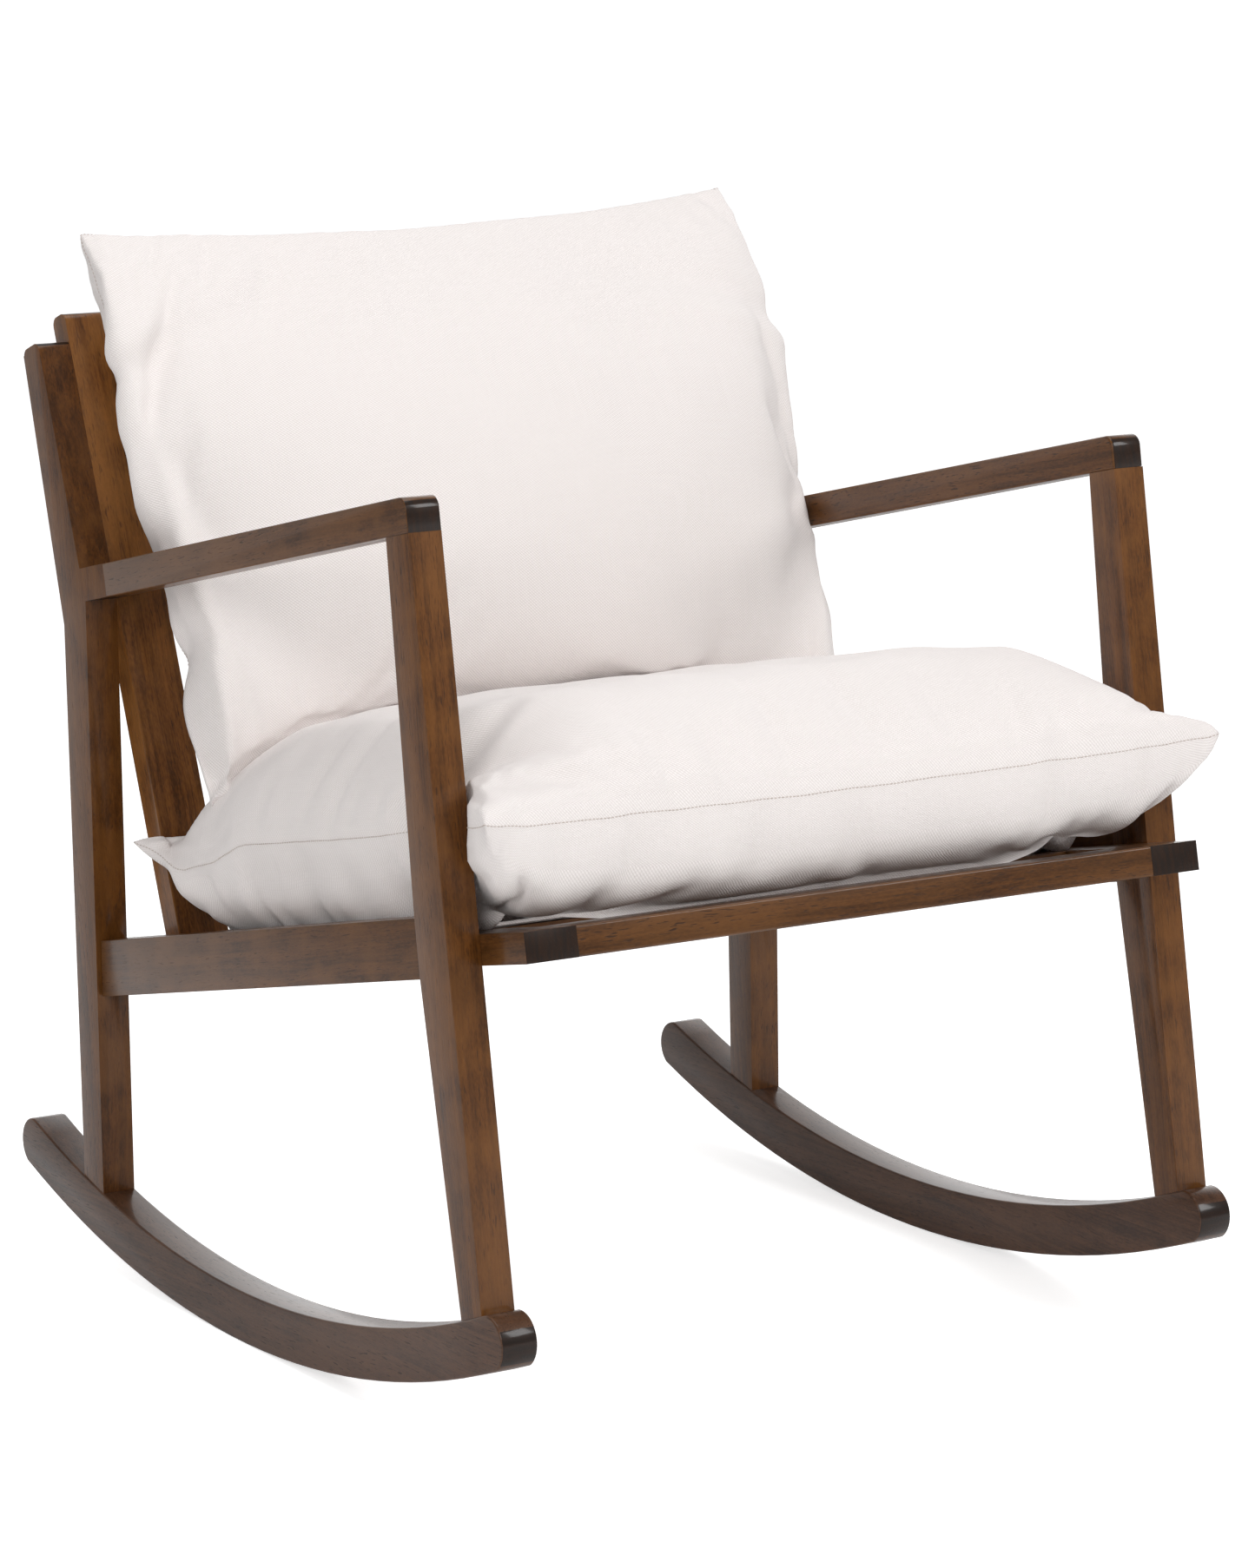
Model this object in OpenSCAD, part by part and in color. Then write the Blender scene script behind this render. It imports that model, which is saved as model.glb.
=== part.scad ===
// Rocking chair: two side frames on curved runners, a slatted seat-and-back frame bolted
// between them, and two loose cushions.  Millimetres, +Z up.  The sitter faces -Y, so the
// sitter's left is +X.  The origin is on the floor, midway between the ends of the runners.

/* [Overall] */
// Width over the outer faces of the legs
chair_w = 660; // [560:1:800]
// Length of a runner from nose to tail
rocker_len = 777; // [700:1:900]

/* [Runners] */
// Radius of the rolling face
rocker_r = 1077; // [900:1:1400]
// Depth of a runner, measured across the curve
rocker_t = 41; // [32:1:50]
// Width of a runner
rocker_w = 30; // [28:0.5:40]
// Distance from mid length back to the point that touches the floor
contact_y = 21.5; // [0:0.5:50]

/* [Legs and arms] */
// Thickness of legs and arms, across the chair
leg_w = 28; // [24:0.5:36]
// Height of the arm's underside at the front of the front leg
arm_front_z = 670; // [600:1:720]
// Distance from the runner's nose back to the front leg's foot
front_foot_inset = 30.3; // [20:0.1:60]
// Forward slant of the front leg
front_lean = 9.9; // [5:0.1:14]
// Depth of the front leg at the side rail
front_leg_mid = 44; // [40:0.5:55]
// Depth of the front leg under the arm
front_leg_top = 33; // [26:0.5:44]
// Depth of the front leg on the runner
front_leg_foot = 31; // [26:0.5:44]
// Distance from the runner's tail forward to the rear leg's front face, at floor level
rear_foot_inset = 148.5; // [135:0.5:170]
// Backward slant of the rear leg below its bend
rear_lean = 0.8; // [0:0.1:2]
// Depth of the rear leg on the runner
rear_leg_foot = 34; // [28:0.5:42]
// Depth of the rear leg at its bend
rear_leg_bend = 45; // [38:0.5:54]
// Depth of the post's top end
post_top = 29; // [24:0.5:40]
// Height of the arm
arm_h = 26.5; // [22:0.5:34]
// Slope of the arm, down to the rear
arm_slope = 13.1; // [8:0.1:16]
// Length of the stub on the rear leg that the arm butts against
arm_stub = 38; // [25:1:50]
// Radius of the arm's upper front corner
arm_nose_r = 9; // [4:0.5:12]

/* [Side rails] */
// Height of the side rail
rail_h = 45; // [36:0.5:56]
// Slope of the side rail, down to the rear
rail_slope = 12.7; // [9:0.1:15]
// Height of the side rail's upper edge at the front leg
rail_front_z = 389; // [370:1:400]
// How far the side rail's outer face sits inside the leg's
rail_inset = 3; // [1:0.5:6]

/* [Seat frame] */
// Thickness of the boards in the seat frame and the back frame
board_t = 23; // [20:0.5:28]
// Width of the seat's side members and of the back's stiles
board_w = 44; // [38:0.5:50]
// Slope of the seat, down to the rear
seat_slope = 12; // [9:0.1:14]
// Height of the seat frame's upper front edge
seat_front_z = 395.5; // [380:0.5:410]
// How far the seat frame's upper front edge stands ahead of the front leg's face
seat_lead = 63; // [40:0.5:80]
// Depth of the seat's front rail, front to back
front_rail_w = 55; // [45:1:65]

/* [Back frame] */
// Lean of the back from the vertical
back_lean = 20.9; // [18:0.1:23]
// How far ahead of the rear leg the back's front face meets the seat
back_set = 88; // [75:1:100]
// Height of the stile above the seat, measured along the stile
stile_len = 522; // [480:1:560]
// Height of the post above the seat, measured along the back
post_len = 499; // [460:1:540]
// Radius of the rounded ends of the stiles and posts
end_r = 7; // [3:0.5:9]

/* [Slats] */
// Number of slats in the seat
seat_slats = 5; // [5]
// Number of slats in the back
back_slats = 5; // [5]
// Thickness of a slat
slat_t = 12; // [9:0.5:14]
// Width of a seat slat
seat_slat_w = 48; // [36:1:54]
// Distance from the seat's front edge to the middle of the first slat
seat_slat_start = 134; // [128:1:142]
// Distance from the middle of the last seat slat to the back, along the seat
seat_slat_end = 66; // [45:1:80]
// Width of a back slat
back_slat_w = 45; // [36:1:52]
// Distance from the seat up the stile to the middle of the first back slat
back_slat_start = 86; // [80:1:95]
// Distance from the middle of the last back slat to the stile's top
back_slat_end = 42; // [35:1:60]
// How far a slat's end is let into the frame
slat_housing = 20; // [14:1:28]

/* [Fasteners] */
// Diameter of the dowels
dowel_d = 8; // [6:1:10]
// Length of the dowels
dowel_len = 40; // [30:1:46]
// Diameter of the slat screws
screw_d = 4; // [3:0.5:5]
// Length of the slat screws
screw_len = 20; // [16:1:21]
// Diameter of the frame bolts
bolt_d = 6; // [5:1:8]
// Length of the frame bolts under the head
bolt_len = 60; // [56:1:66]

/* [Cushions] */
// Thickness of the seat cushion at its crown
seat_cushion_t = 164; // [120:1:180]
// How far the seat cushion's front edge stands ahead of the frame's edge
seat_cushion_lead = 11; // [0:1:20]
// Thickness of the back cushion at its crown
back_cushion_t = 120; // [90:1:130]
// Height of the back cushion, measured along the back
back_cushion_len = 446; // [400:1:480]

/* [Hidden] */
// A slat in its housing, and a cushion beside wood
housing_gap = 0.25;
cushion_gap = 3;
rest_gap = 0.6;
// A dowel or an insert in its bore, and a bolt or a screw in its hole, on the diameter
bore_gap = 0.1;
hole_gap = 0.6;

leg_out = chair_w / 2;
leg_in = leg_out - leg_w;
leg_mid = (leg_out + leg_in) / 2;
frame_in = leg_in - board_w;
disc_c = [contact_y, rocker_r];
slat_half = frame_in + slat_housing - housing_gap;
screw_x = frame_in + slat_housing / 2;
screw_head_d = 2 * screw_d;
screw_head_h = (screw_head_d - screw_d) / 2;
washer_t = 1.5;
washer_d = 2.6 * bolt_d;
bolt_head_d = 1.8 * bolt_d;
bolt_head_h = 0.58 * bolt_d;
insert_d = 1.5 * bolt_d;
insert_len = 15;
// Wood left between an insert and the front leg's face
insert_wall = 15;
far = 2000;

// A cushion's profile: the radius of its thin edge, how far in its shoulder is and how far
// above mid height as a share of the thickness, and the radius of its crown's corners
edge_r = 8;
shoulder_in = 38;
shoulder_rise = 0.3;
crown_r = 24;
seat_crown_in = 110;
back_crown_in = 90;

// ---- the side view, as points [distance back, height] ----

// A direction, by its lean from the vertical towards the rear
function lean(a) = [sin(a), cos(a)];
function turn(a, b) = a[0] * b[1] - a[1] * b[0];
// Where the line through p leaning a crosses the line through q leaning b
function meet(p, a, q, b) = p + lean(a) * turn(q - p, lean(b)) / turn(lean(a), lean(b));
// Points on the seat, along its slope and up from its top face, and on the back, up the
// stile and forward of its front face
function on_seat(s, n) = seat_base + s * lean(90 + seat_slope) + n * lean(seat_slope);
function on_back(t, m) = back_base + t * lean(back_lean) - m * lean(90 + back_lean);

// Height of the top of the runner at a distance y back from the origin
function foot_level(y) = rocker_r - sqrt(pow(rocker_r - rocker_t, 2) - pow(y - contact_y, 2));

// Lines of the front leg: its face, and its back above, beside and below the side rail
foot_y = front_foot_inset - rocker_len / 2;
foot_face = [foot_y, foot_level(foot_y)];
foot_back = foot_face + [front_leg_foot / cos(front_lean), 0];
leg_face = meet(foot_face, front_lean, [0, arm_front_z], 90);
leg_top_back = leg_face + [front_leg_top / cos(front_lean), 0];
rail_top_front = meet(leg_face + [front_leg_mid / cos(front_lean), 0], front_lean,
                      [0, rail_front_z], 90);
rail_low_front = rail_top_front - rail_h / cos(rail_slope - front_lean) * lean(front_lean);

// The seat's upper front edge, and where its top face meets the back's front face
rear_leg_y = rocker_len / 2 - rear_foot_inset;
seat_base = meet(foot_face - [seat_lead, 0], front_lean, [0, seat_front_z], 90);
back_base = meet(seat_base, 90 + seat_slope, [rear_leg_y - back_set, 0], 0);
seat_len = norm(back_base - seat_base);
seat_slat_pitch = (seat_len - seat_slat_start - seat_slat_end) / (seat_slats - 1);
back_slat_pitch = (stile_len - back_slat_start - back_slat_end) / (back_slats - 1);

// Lines of the rear leg
post_bend = meet([rear_leg_y, 0], rear_lean, back_base, back_lean);
post_low_bend = post_bend + [rear_leg_bend, -rear_leg_bend * tan(back_lean) / 2];
rear_foot_back = [rear_leg_y + rear_leg_foot, foot_level(rear_leg_y) - rocker_t / 2];
post_front_top = on_back(post_len, 0);
post_back_top = on_back(post_len, -post_top);
// Lines of the arm
arm_axis = 90 + arm_slope;
arm_low_rear = meet(leg_face, arm_axis, back_base, back_lean);
arm_top_rear = meet(leg_face + arm_h * lean(arm_slope), arm_axis, back_base, back_lean);
stub_low = arm_low_rear - arm_stub * lean(arm_axis);
stub_top = stub_low + arm_h * lean(arm_slope);
arm_nose_top = meet(stub_top, arm_axis, leg_face, front_lean);
rail_axis = 90 + rail_slope;

// The seat cushion reaches back until its edge, at mid thickness, is just short of the back
recline = back_lean - seat_slope;
seat_cushion_mid = rest_gap + seat_cushion_t / 2;
seat_cushion_len = seat_cushion_lead + seat_len + seat_cushion_mid * tan(recline)
    + edge_r - (edge_r + cushion_gap) / cos(recline);

// The seat cushion's rear end falls from its crown to its shoulder, and the back cushion
// stands on that slope
seat_crown_end = on_seat(seat_cushion_len - seat_cushion_lead - seat_crown_in,
                         rest_gap + seat_cushion_t - crown_r);
seat_shoulder_end = on_seat(seat_cushion_len - seat_cushion_lead - shoulder_in,
                            rest_gap + (0.5 + shoulder_rise) * seat_cushion_t - edge_r);
fall = (seat_shoulder_end - seat_crown_end) / norm(seat_shoulder_end - seat_crown_end);
fall_tilt = (crown_r - edge_r) / norm(seat_shoulder_end - seat_crown_end);
slope_up = sqrt(1 - fall_tilt * fall_tilt) * [-fall[1], fall[0]] + fall_tilt * fall;
// The lowest start of the back cushion at which a rounding of radius r clears that slope;
// the rounding's centre is t up from the cushion's lower edge and m ahead of the back
function start_above_seat(t, m, r) =
    (slope_up * (seat_crown_end - back_base + m * lean(90 + back_lean)) + crown_r + r + rest_gap)
    / (slope_up * lean(back_lean)) - t;
back_cushion_start = max(
    start_above_seat(edge_r, rest_gap + back_cushion_t / 2, edge_r),
    start_above_seat(shoulder_in, rest_gap + (0.5 + shoulder_rise) * back_cushion_t - edge_r, edge_r),
    start_above_seat(back_crown_in, rest_gap + back_cushion_t - crown_r, crown_r)
);

$fn = 64;

// ---- helpers ----

// Extrudes a side-view outline from x0 to x1; its own x is depth and its own y is height
module board(x0, x1) {
    translate([x0, 0, 0]) rotate([90, 0, 90]) linear_extrude(x1 - x0) children();
}

// A round bar in the side view's plane, centred on p and leaning a
module bar_in_side(x, p, a, len, d) {
    translate([x, p[0], p[1]]) rotate([-a, 0, 0]) cylinder(h = len, d = d, center = true);
}

// A round bar across the chair from x0 to x1
module bar_across(x0, x1, p, d) {
    translate([x0, p[0], p[1]]) rotate([0, 90, 0]) cylinder(h = x1 - x0, d = d);
}

// Everything is drawn on the sitter's left and mirrored to the right
module on_side(side) {
    if (side > 0) children();
    else mirror([1, 0, 0]) children();
}

module both_sides() {
    on_side(1) children();
    on_side(-1) children();
}

// Cuts the corner p of an outline to radius r; a and b lean from p along its two edges
module corner_waste(p, a, b, r) {
    half = abs(acos(lean(a) * lean(b))) / 2;
    mid = (lean(a) + lean(b)) / norm(lean(a) + lean(b));
    reach = r / tan(half);
    difference() {
        polygon([p - mid, p + reach * lean(a), p + mid * r / sin(half), p + reach * lean(b)]);
        translate(p + mid * r / sin(half)) circle(r);
    }
}

// ---- dowels: the same sets draw the dowels and, a little wider, their bores ----

module rocker_dowels_at(d) {
    both_sides() {
        for (step = [-8, 8]) {
            y = foot_face[0] + front_leg_foot / 2 + step;
            bar_in_side(leg_mid, [y, foot_level(y)], front_lean + 1, dowel_len, d);
        }
        for (step = [-8, 8]) {
            y = rear_leg_y + rear_leg_foot / 2 + step;
            bar_in_side(leg_mid, [y, foot_level(y)], rear_lean, dowel_len, d);
        }
    }
}

arm_joint = leg_face + front_leg_top / 2 / cos(arm_slope) * lean(arm_axis);
stub_joint = (stub_low + stub_top) / 2;
module arm_dowels_at(d) {
    both_sides() {
        for (step = [-8, 8])
            bar_in_side(leg_mid, arm_joint + step * lean(arm_axis) - 3 * lean(front_lean),
                        front_lean, dowel_len - 2, d);
        for (step = [-6, 6])
            bar_in_side(leg_mid, stub_joint + step * lean(arm_slope), arm_axis, dowel_len, d);
    }
}

rail_joint_front = (rail_top_front + rail_low_front) / 2;
rail_joint_rear = meet(rail_joint_front, rail_axis, [rear_leg_y, 0], rear_lean);
module side_rail_dowels_at(d) {
    both_sides()
        for (end = [rail_joint_front, rail_joint_rear])
            for (step = [-12, 12])
                bar_in_side(leg_mid - rail_inset / 2, end + step * lean(rail_slope),
                            rail_axis, dowel_len, d);
}

// A dowel across the chair reaches cross_in into a side member or a stile, which leaves room
// beside it for the two dowels in that member's rear end.  Those stop short of the stile's back
dowel_wall = 3;
cross_in = board_w - 2 * (dowel_d + dowel_wall) - 2;
seat_dowel_len = 2 * (board_t - 7);
seat_joint_rear = meet(on_seat(0, -board_t / 2), 90 + seat_slope, back_base, back_lean);
module cross_dowel(p, d) {
    bar_across(frame_in + cross_in - dowel_len, frame_in + cross_in, p, d);
}

module seat_frame_dowels_at(d) {
    both_sides() {
        for (step = [-13, 13])
            cross_dowel(on_seat(front_rail_w / 2 + step, -board_t / 2), d);
        for (n = [0, 1])
            bar_in_side(leg_in - dowel_wall - dowel_d / 2 - n * (dowel_d + dowel_wall),
                        seat_joint_rear, 90 + seat_slope, seat_dowel_len, d);
    }
}
stile_foot_low = meet(on_seat(0, -board_t), 90 + seat_slope, back_base, back_lean);
bottom_rail_top = 9;
bottom_rail_low = -norm(stile_foot_low - back_base);
module back_frame_dowels_at(d) {
    both_sides()
        for (step = [-9, 9])
            cross_dowel(on_back((bottom_rail_top + bottom_rail_low) / 2 + step, -board_t / 2), d);
}

// ---- slat screws ----

function seat_slat_s(i) = seat_slat_start + (i - 1) * seat_slat_pitch;
function back_slat_t(i) = back_slat_start + (i - 1) * back_slat_pitch;

// One countersunk screw, head up at the origin, with grow added to each diameter
module screw(grow) {
    translate([0, 0, -screw_len]) cylinder(h = screw_len - screw_head_h, d = screw_d + grow);
    translate([0, 0, -screw_head_h])
        cylinder(h = screw_head_h, d1 = screw_d + grow, d2 = screw_head_d + grow);
}

module seat_screws_at(grow) {
    both_sides()
        for (i = [1 : seat_slats])
            translate([screw_x, on_seat(seat_slat_s(i), 0)[0], on_seat(seat_slat_s(i), 0)[1]])
                rotate([-seat_slope, 0, 0]) screw(grow);
}

module back_screws_at(grow) {
    both_sides()
        for (i = [1 : back_slats])
            translate([screw_x, on_back(back_slat_t(i), -board_t)[0],
                       on_back(back_slat_t(i), -board_t)[1]])
                rotate([-90 - back_lean, 0, 0]) screw(grow);
}

// A crossed recess in a screw's head, for a driver
module driver_cross(size) {
    for (turned = [0, 90])
        rotate([0, 0, turned])
            cube([size, size / 4, size / 1.6], center = true);
}

// ---- bolts that hold the side frames to the seat and the back ----

// The front one goes into the front leg, the next is between the last slat and the back,
// and the upper two are midway between slats
rear_bolt_set = 27;
back_bolt_low = back_slat_t(3) + back_slat_pitch / 2;
back_bolt_high = back_slat_t(4) + back_slat_pitch / 2;
bolt_seats = [
    meet(leg_face + [insert_wall + insert_d / 2, 0], front_lean,
         on_seat(0, -board_t / 2), 90 + seat_slope),
    on_seat(seat_len - rear_bolt_set, -board_t / 2),
    on_back(back_bolt_low, -board_t / 2),
    on_back(back_bolt_high, -board_t / 2)
];

module bolt_holes() {
    both_sides()
        for (p = bolt_seats)
            bar_across(frame_in - 1, leg_in + 1, p, bolt_d + hole_gap);
}

module insert_bores() {
    both_sides()
        for (p = bolt_seats) {
            bar_across(leg_in - 1, leg_in + insert_len, p, insert_d + bore_gap);
            bar_across(leg_in - 1, frame_in + bolt_len, p, bolt_d + hole_gap);
        }
}

// ---- side frames ----

// Area above the runner's top face, where legs stand
module above_runner() {
    translate(disc_c) circle(rocker_r - rocker_t, $fn = 360);
}

// The runner's ends are rounded a little flatter than a half circle
module rocker_outline() {
    mid_r = rocker_r - rocker_t / 2;
    cap_r = 0.517 * rocker_t;
    nose = asin((-rocker_len / 2 + cap_r - contact_y) / mid_r);
    tail = asin((rocker_len / 2 - cap_r - contact_y) / mid_r);
    intersection() {
        difference() {
            translate(disc_c) circle(rocker_r, $fn = 360);
            translate(disc_c) circle(rocker_r - rocker_t, $fn = 360);
        }
        union() {
            polygon([disc_c, disc_c - far * lean(-nose), disc_c - far * lean(-tail)]);
            for (a = [nose, tail])
                translate(disc_c - mid_r * lean(-a)) circle(cap_r);
        }
    }
}

module rocker(side) {
    color("saddlebrown") difference() {
        on_side(side) board(leg_mid - rocker_w / 2, leg_mid + rocker_w / 2) rocker_outline();
        rocker_dowels_at(dowel_d + bore_gap);
    }
}

module front_leg_outline() {
    intersection() {
        polygon([
            leg_face, rail_top_front - [front_leg_mid / cos(front_lean), 0],
            foot_face - 20 * lean(front_lean), foot_back - 20 * lean(front_lean + 2.5),
            rail_low_front, rail_top_front,
            meet(leg_face, arm_axis, leg_top_back, front_lean)
        ]);
        above_runner();
    }
}

module front_leg(side) {
    color("sienna") difference() {
        on_side(side) board(leg_in, leg_out) front_leg_outline();
        rocker_dowels_at(dowel_d + bore_gap);
        arm_dowels_at(dowel_d + bore_gap);
        side_rail_dowels_at(dowel_d + bore_gap);
        insert_bores();
    }
}

module rear_leg_outline() {
    intersection() {
        difference() {
            polygon([
                [rear_leg_y, 0], arm_low_rear, stub_low, stub_top, arm_top_rear,
                post_front_top, post_back_top, post_low_bend, rear_foot_back
            ]);
            corner_waste(post_front_top, 180 + back_lean, 90 + back_lean, end_r);
            corner_waste(post_back_top, 180 + back_lean, 270 + back_lean, end_r);
        }
        above_runner();
    }
}

module rear_leg(side) {
    color("sienna") difference() {
        on_side(side) board(leg_in, leg_out) rear_leg_outline();
        rocker_dowels_at(dowel_d + bore_gap);
        arm_dowels_at(dowel_d + bore_gap);
        side_rail_dowels_at(dowel_d + bore_gap);
        insert_bores();
    }
}

module arm_outline() {
    difference() {
        polygon([leg_face, arm_nose_top, stub_top, stub_low]);
        corner_waste(arm_nose_top, arm_axis, 180 + front_lean, arm_nose_r);
    }
}

module arm(side) {
    color("saddlebrown") difference() {
        on_side(side) board(leg_in, leg_out) arm_outline();
        arm_dowels_at(dowel_d + bore_gap);
    }
}

module side_rail_outline() {
    polygon([
        rail_low_front, rail_top_front,
        meet(rail_top_front, rail_axis, [rear_leg_y, 0], rear_lean),
        meet(rail_low_front, rail_axis, [rear_leg_y, 0], rear_lean)
    ]);
}

module side_rail(side) {
    color("sienna") difference() {
        on_side(side) board(leg_in, leg_out - rail_inset) side_rail_outline();
        side_rail_dowels_at(dowel_d + bore_gap);
        insert_bores();
    }
}

// ---- seat frame ----

// The space of one seat slat, reaching half across the chair, with grow all round
module seat_slat_space(i, half, grow) {
    s = seat_slat_s(i);
    board(-half - grow, half + grow) polygon([
        on_seat(s - seat_slat_w / 2 - grow, -slat_t), on_seat(s + seat_slat_w / 2 + grow, -slat_t),
        on_seat(s + seat_slat_w / 2 + grow, grow), on_seat(s - seat_slat_w / 2 - grow, grow)
    ]);
}

module seat_member(side) {
    color("saddlebrown") difference() {
        on_side(side) board(frame_in, leg_in) polygon([
            on_seat(0, 0), back_base, stile_foot_low, on_seat(0, -board_t)
        ]);
        for (i = [1 : seat_slats]) seat_slat_space(i, slat_half, housing_gap);
        seat_frame_dowels_at(dowel_d + bore_gap);
        seat_screws_at(bore_gap);
        bolt_holes();
    }
}

module seat_front_rail() {
    color("saddlebrown") difference() {
        board(-frame_in, frame_in) polygon([
            on_seat(0, 0), on_seat(front_rail_w, 0),
            on_seat(front_rail_w, -board_t), on_seat(0, -board_t)
        ]);
        seat_frame_dowels_at(dowel_d + bore_gap);
    }
}

module seat_slat(i) {
    color("peru") difference() {
        seat_slat_space(i, slat_half, 0);
        seat_screws_at(hole_gap);
    }
}

// ---- back frame ----

module stile_outline() {
    top_front = on_back(stile_len, 0);
    top_back = on_back(stile_len, -board_t);
    difference() {
        polygon([
            stile_foot_low, top_front, top_back,
            meet(on_seat(0, -board_t), 90 + seat_slope, on_back(0, -board_t), back_lean)
        ]);
        corner_waste(top_front, 180 + back_lean, 90 + back_lean, end_r);
        corner_waste(top_back, 180 + back_lean, 270 + back_lean, end_r);
    }
}

module back_slat_space(i, half, grow) {
    t = back_slat_t(i);
    board(-half - grow, half + grow) polygon([
        on_back(t - back_slat_w / 2 - grow, -board_t - grow),
        on_back(t + back_slat_w / 2 + grow, -board_t - grow),
        on_back(t + back_slat_w / 2 + grow, slat_t - board_t),
        on_back(t - back_slat_w / 2 - grow, slat_t - board_t)
    ]);
}

module back_stile(side) {
    color("saddlebrown") difference() {
        on_side(side) board(frame_in, leg_in) stile_outline();
        for (i = [1 : back_slats]) back_slat_space(i, slat_half, housing_gap);
        seat_frame_dowels_at(dowel_d + bore_gap);
        back_frame_dowels_at(dowel_d + bore_gap);
        back_screws_at(bore_gap);
        bolt_holes();
    }
}

module back_bottom_rail() {
    color("saddlebrown") difference() {
        board(-frame_in, frame_in) polygon([
            on_back(bottom_rail_low, 0), on_back(bottom_rail_top, 0),
            on_back(bottom_rail_top, -board_t), on_back(bottom_rail_low, -board_t)
        ]);
        back_frame_dowels_at(dowel_d + bore_gap);
    }
}

module back_slat(i) {
    color("peru") difference() {
        back_slat_space(i, slat_half, 0);
        back_screws_at(hole_gap);
    }
}

// ---- fasteners ----

module rocker_dowels() {
    color("burlywood") rocker_dowels_at(dowel_d);
}

module arm_dowels() {
    color("burlywood") arm_dowels_at(dowel_d);
}

module side_rail_dowels() {
    color("burlywood") side_rail_dowels_at(dowel_d);
}

module seat_frame_dowels() {
    color("burlywood") seat_frame_dowels_at(dowel_d);
}

module back_frame_dowels() {
    color("burlywood") back_frame_dowels_at(dowel_d);
}

module seat_slat_screws() {
    color("silver") difference() {
        seat_screws_at(0);
        both_sides()
            for (i = [1 : seat_slats])
                translate([screw_x, on_seat(seat_slat_s(i), 0)[0], on_seat(seat_slat_s(i), 0)[1]])
                    rotate([-seat_slope, 0, 0]) driver_cross(screw_d);
    }
}

module back_slat_screws() {
    color("silver") difference() {
        back_screws_at(0);
        both_sides()
            for (i = [1 : back_slats])
                translate([screw_x, on_back(back_slat_t(i), -board_t)[0],
                           on_back(back_slat_t(i), -board_t)[1]])
                    rotate([-90 - back_lean, 0, 0]) driver_cross(screw_d);
    }
}

module frame_bolts() {
    color("dimgray") both_sides()
        for (p = bolt_seats) {
            bar_across(frame_in - washer_t, frame_in - washer_t + bolt_len, p, bolt_d);
            difference() {
                bar_across(frame_in - washer_t - bolt_head_h, frame_in - washer_t, p,
                           bolt_head_d);
                translate([frame_in - washer_t - bolt_head_h - 1, p[0], p[1]])
                    rotate([0, 90, 0]) cylinder(h = 1 + bolt_head_h * 0.7, d = 0.7 * bolt_d,
                                                $fn = 6);
            }
        }
}

module bolt_washers() {
    color("silver") both_sides()
        for (p = bolt_seats)
            difference() {
                bar_across(frame_in - washer_t, frame_in, p, washer_d);
                bar_across(frame_in - washer_t - 1, frame_in + 1, p, bolt_d + hole_gap);
            }
}

module threaded_inserts() {
    color("gold") both_sides()
        for (p = bolt_seats)
            difference() {
                bar_across(leg_in, leg_in + insert_len, p, insert_d);
                bar_across(leg_in - 1, leg_in + insert_len + 1, p, bolt_d + bore_gap);
            }
}

// ---- cushions ----

// A pillow of plan w by l and thickness t, centred on the origin: a thin edge at mid
// height all round, a shoulder, and a crown that starts crown_in from the edge
module pillow(w, l, t, crown_in) {
    hull()
        for (sx = [-1, 1], sy = [-1, 1]) {
            translate([sx * (w / 2 - edge_r), sy * (l / 2 - edge_r), 0]) sphere(edge_r, $fn = 20);
            for (sz = [-1, 1]) {
                translate([sx * (w / 2 - shoulder_in), sy * (l / 2 - shoulder_in),
                           sz * (shoulder_rise * t - edge_r)])
                    sphere(edge_r, $fn = 20);
                translate([sx * (w / 2 - crown_in), sy * (l / 2 - crown_in),
                           sz * (t / 2 - crown_r)])
                    sphere(crown_r, $fn = 28);
            }
        }
}

module seat_cushion() {
    mid = on_seat(seat_cushion_len / 2 - seat_cushion_lead, seat_cushion_mid);
    color("linen") translate([0, mid[0], mid[1]]) rotate([-seat_slope, 0, 0])
        pillow(2 * (leg_in - cushion_gap), seat_cushion_len, seat_cushion_t, seat_crown_in);
}

module back_cushion() {
    mid = on_back(back_cushion_start + back_cushion_len / 2, back_cushion_t / 2 + rest_gap);
    color("linen") translate([0, mid[0], mid[1]]) rotate([90 - back_lean, 0, 0])
        pillow(2 * (leg_in - cushion_gap), back_cushion_len, back_cushion_t, back_crown_in);
}

rocker(1);  // left_rocker
rocker(-1);  // right_rocker
front_leg(1);  // left_front_leg
front_leg(-1);  // right_front_leg
rear_leg(1);  // left_rear_leg
rear_leg(-1);  // right_rear_leg
arm(1);  // left_arm
arm(-1);  // right_arm
side_rail(1);  // left_side_rail
side_rail(-1);  // right_side_rail
seat_member(1);  // left_seat_member
seat_member(-1);  // right_seat_member
seat_front_rail();
seat_slat(1);  // seat_slat_1
seat_slat(2);  // seat_slat_2
seat_slat(3);  // seat_slat_3
seat_slat(4);  // seat_slat_4
seat_slat(5);  // seat_slat_5
back_stile(1);  // left_back_stile
back_stile(-1);  // right_back_stile
back_bottom_rail();
back_slat(1);  // back_slat_1
back_slat(2);  // back_slat_2
back_slat(3);  // back_slat_3
back_slat(4);  // back_slat_4
back_slat(5);  // back_slat_5
seat_cushion();
back_cushion();
rocker_dowels();
arm_dowels();
side_rail_dowels();
seat_frame_dowels();
back_frame_dowels();
seat_slat_screws();
back_slat_screws();
frame_bolts();
bolt_washers();
threaded_inserts();
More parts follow.
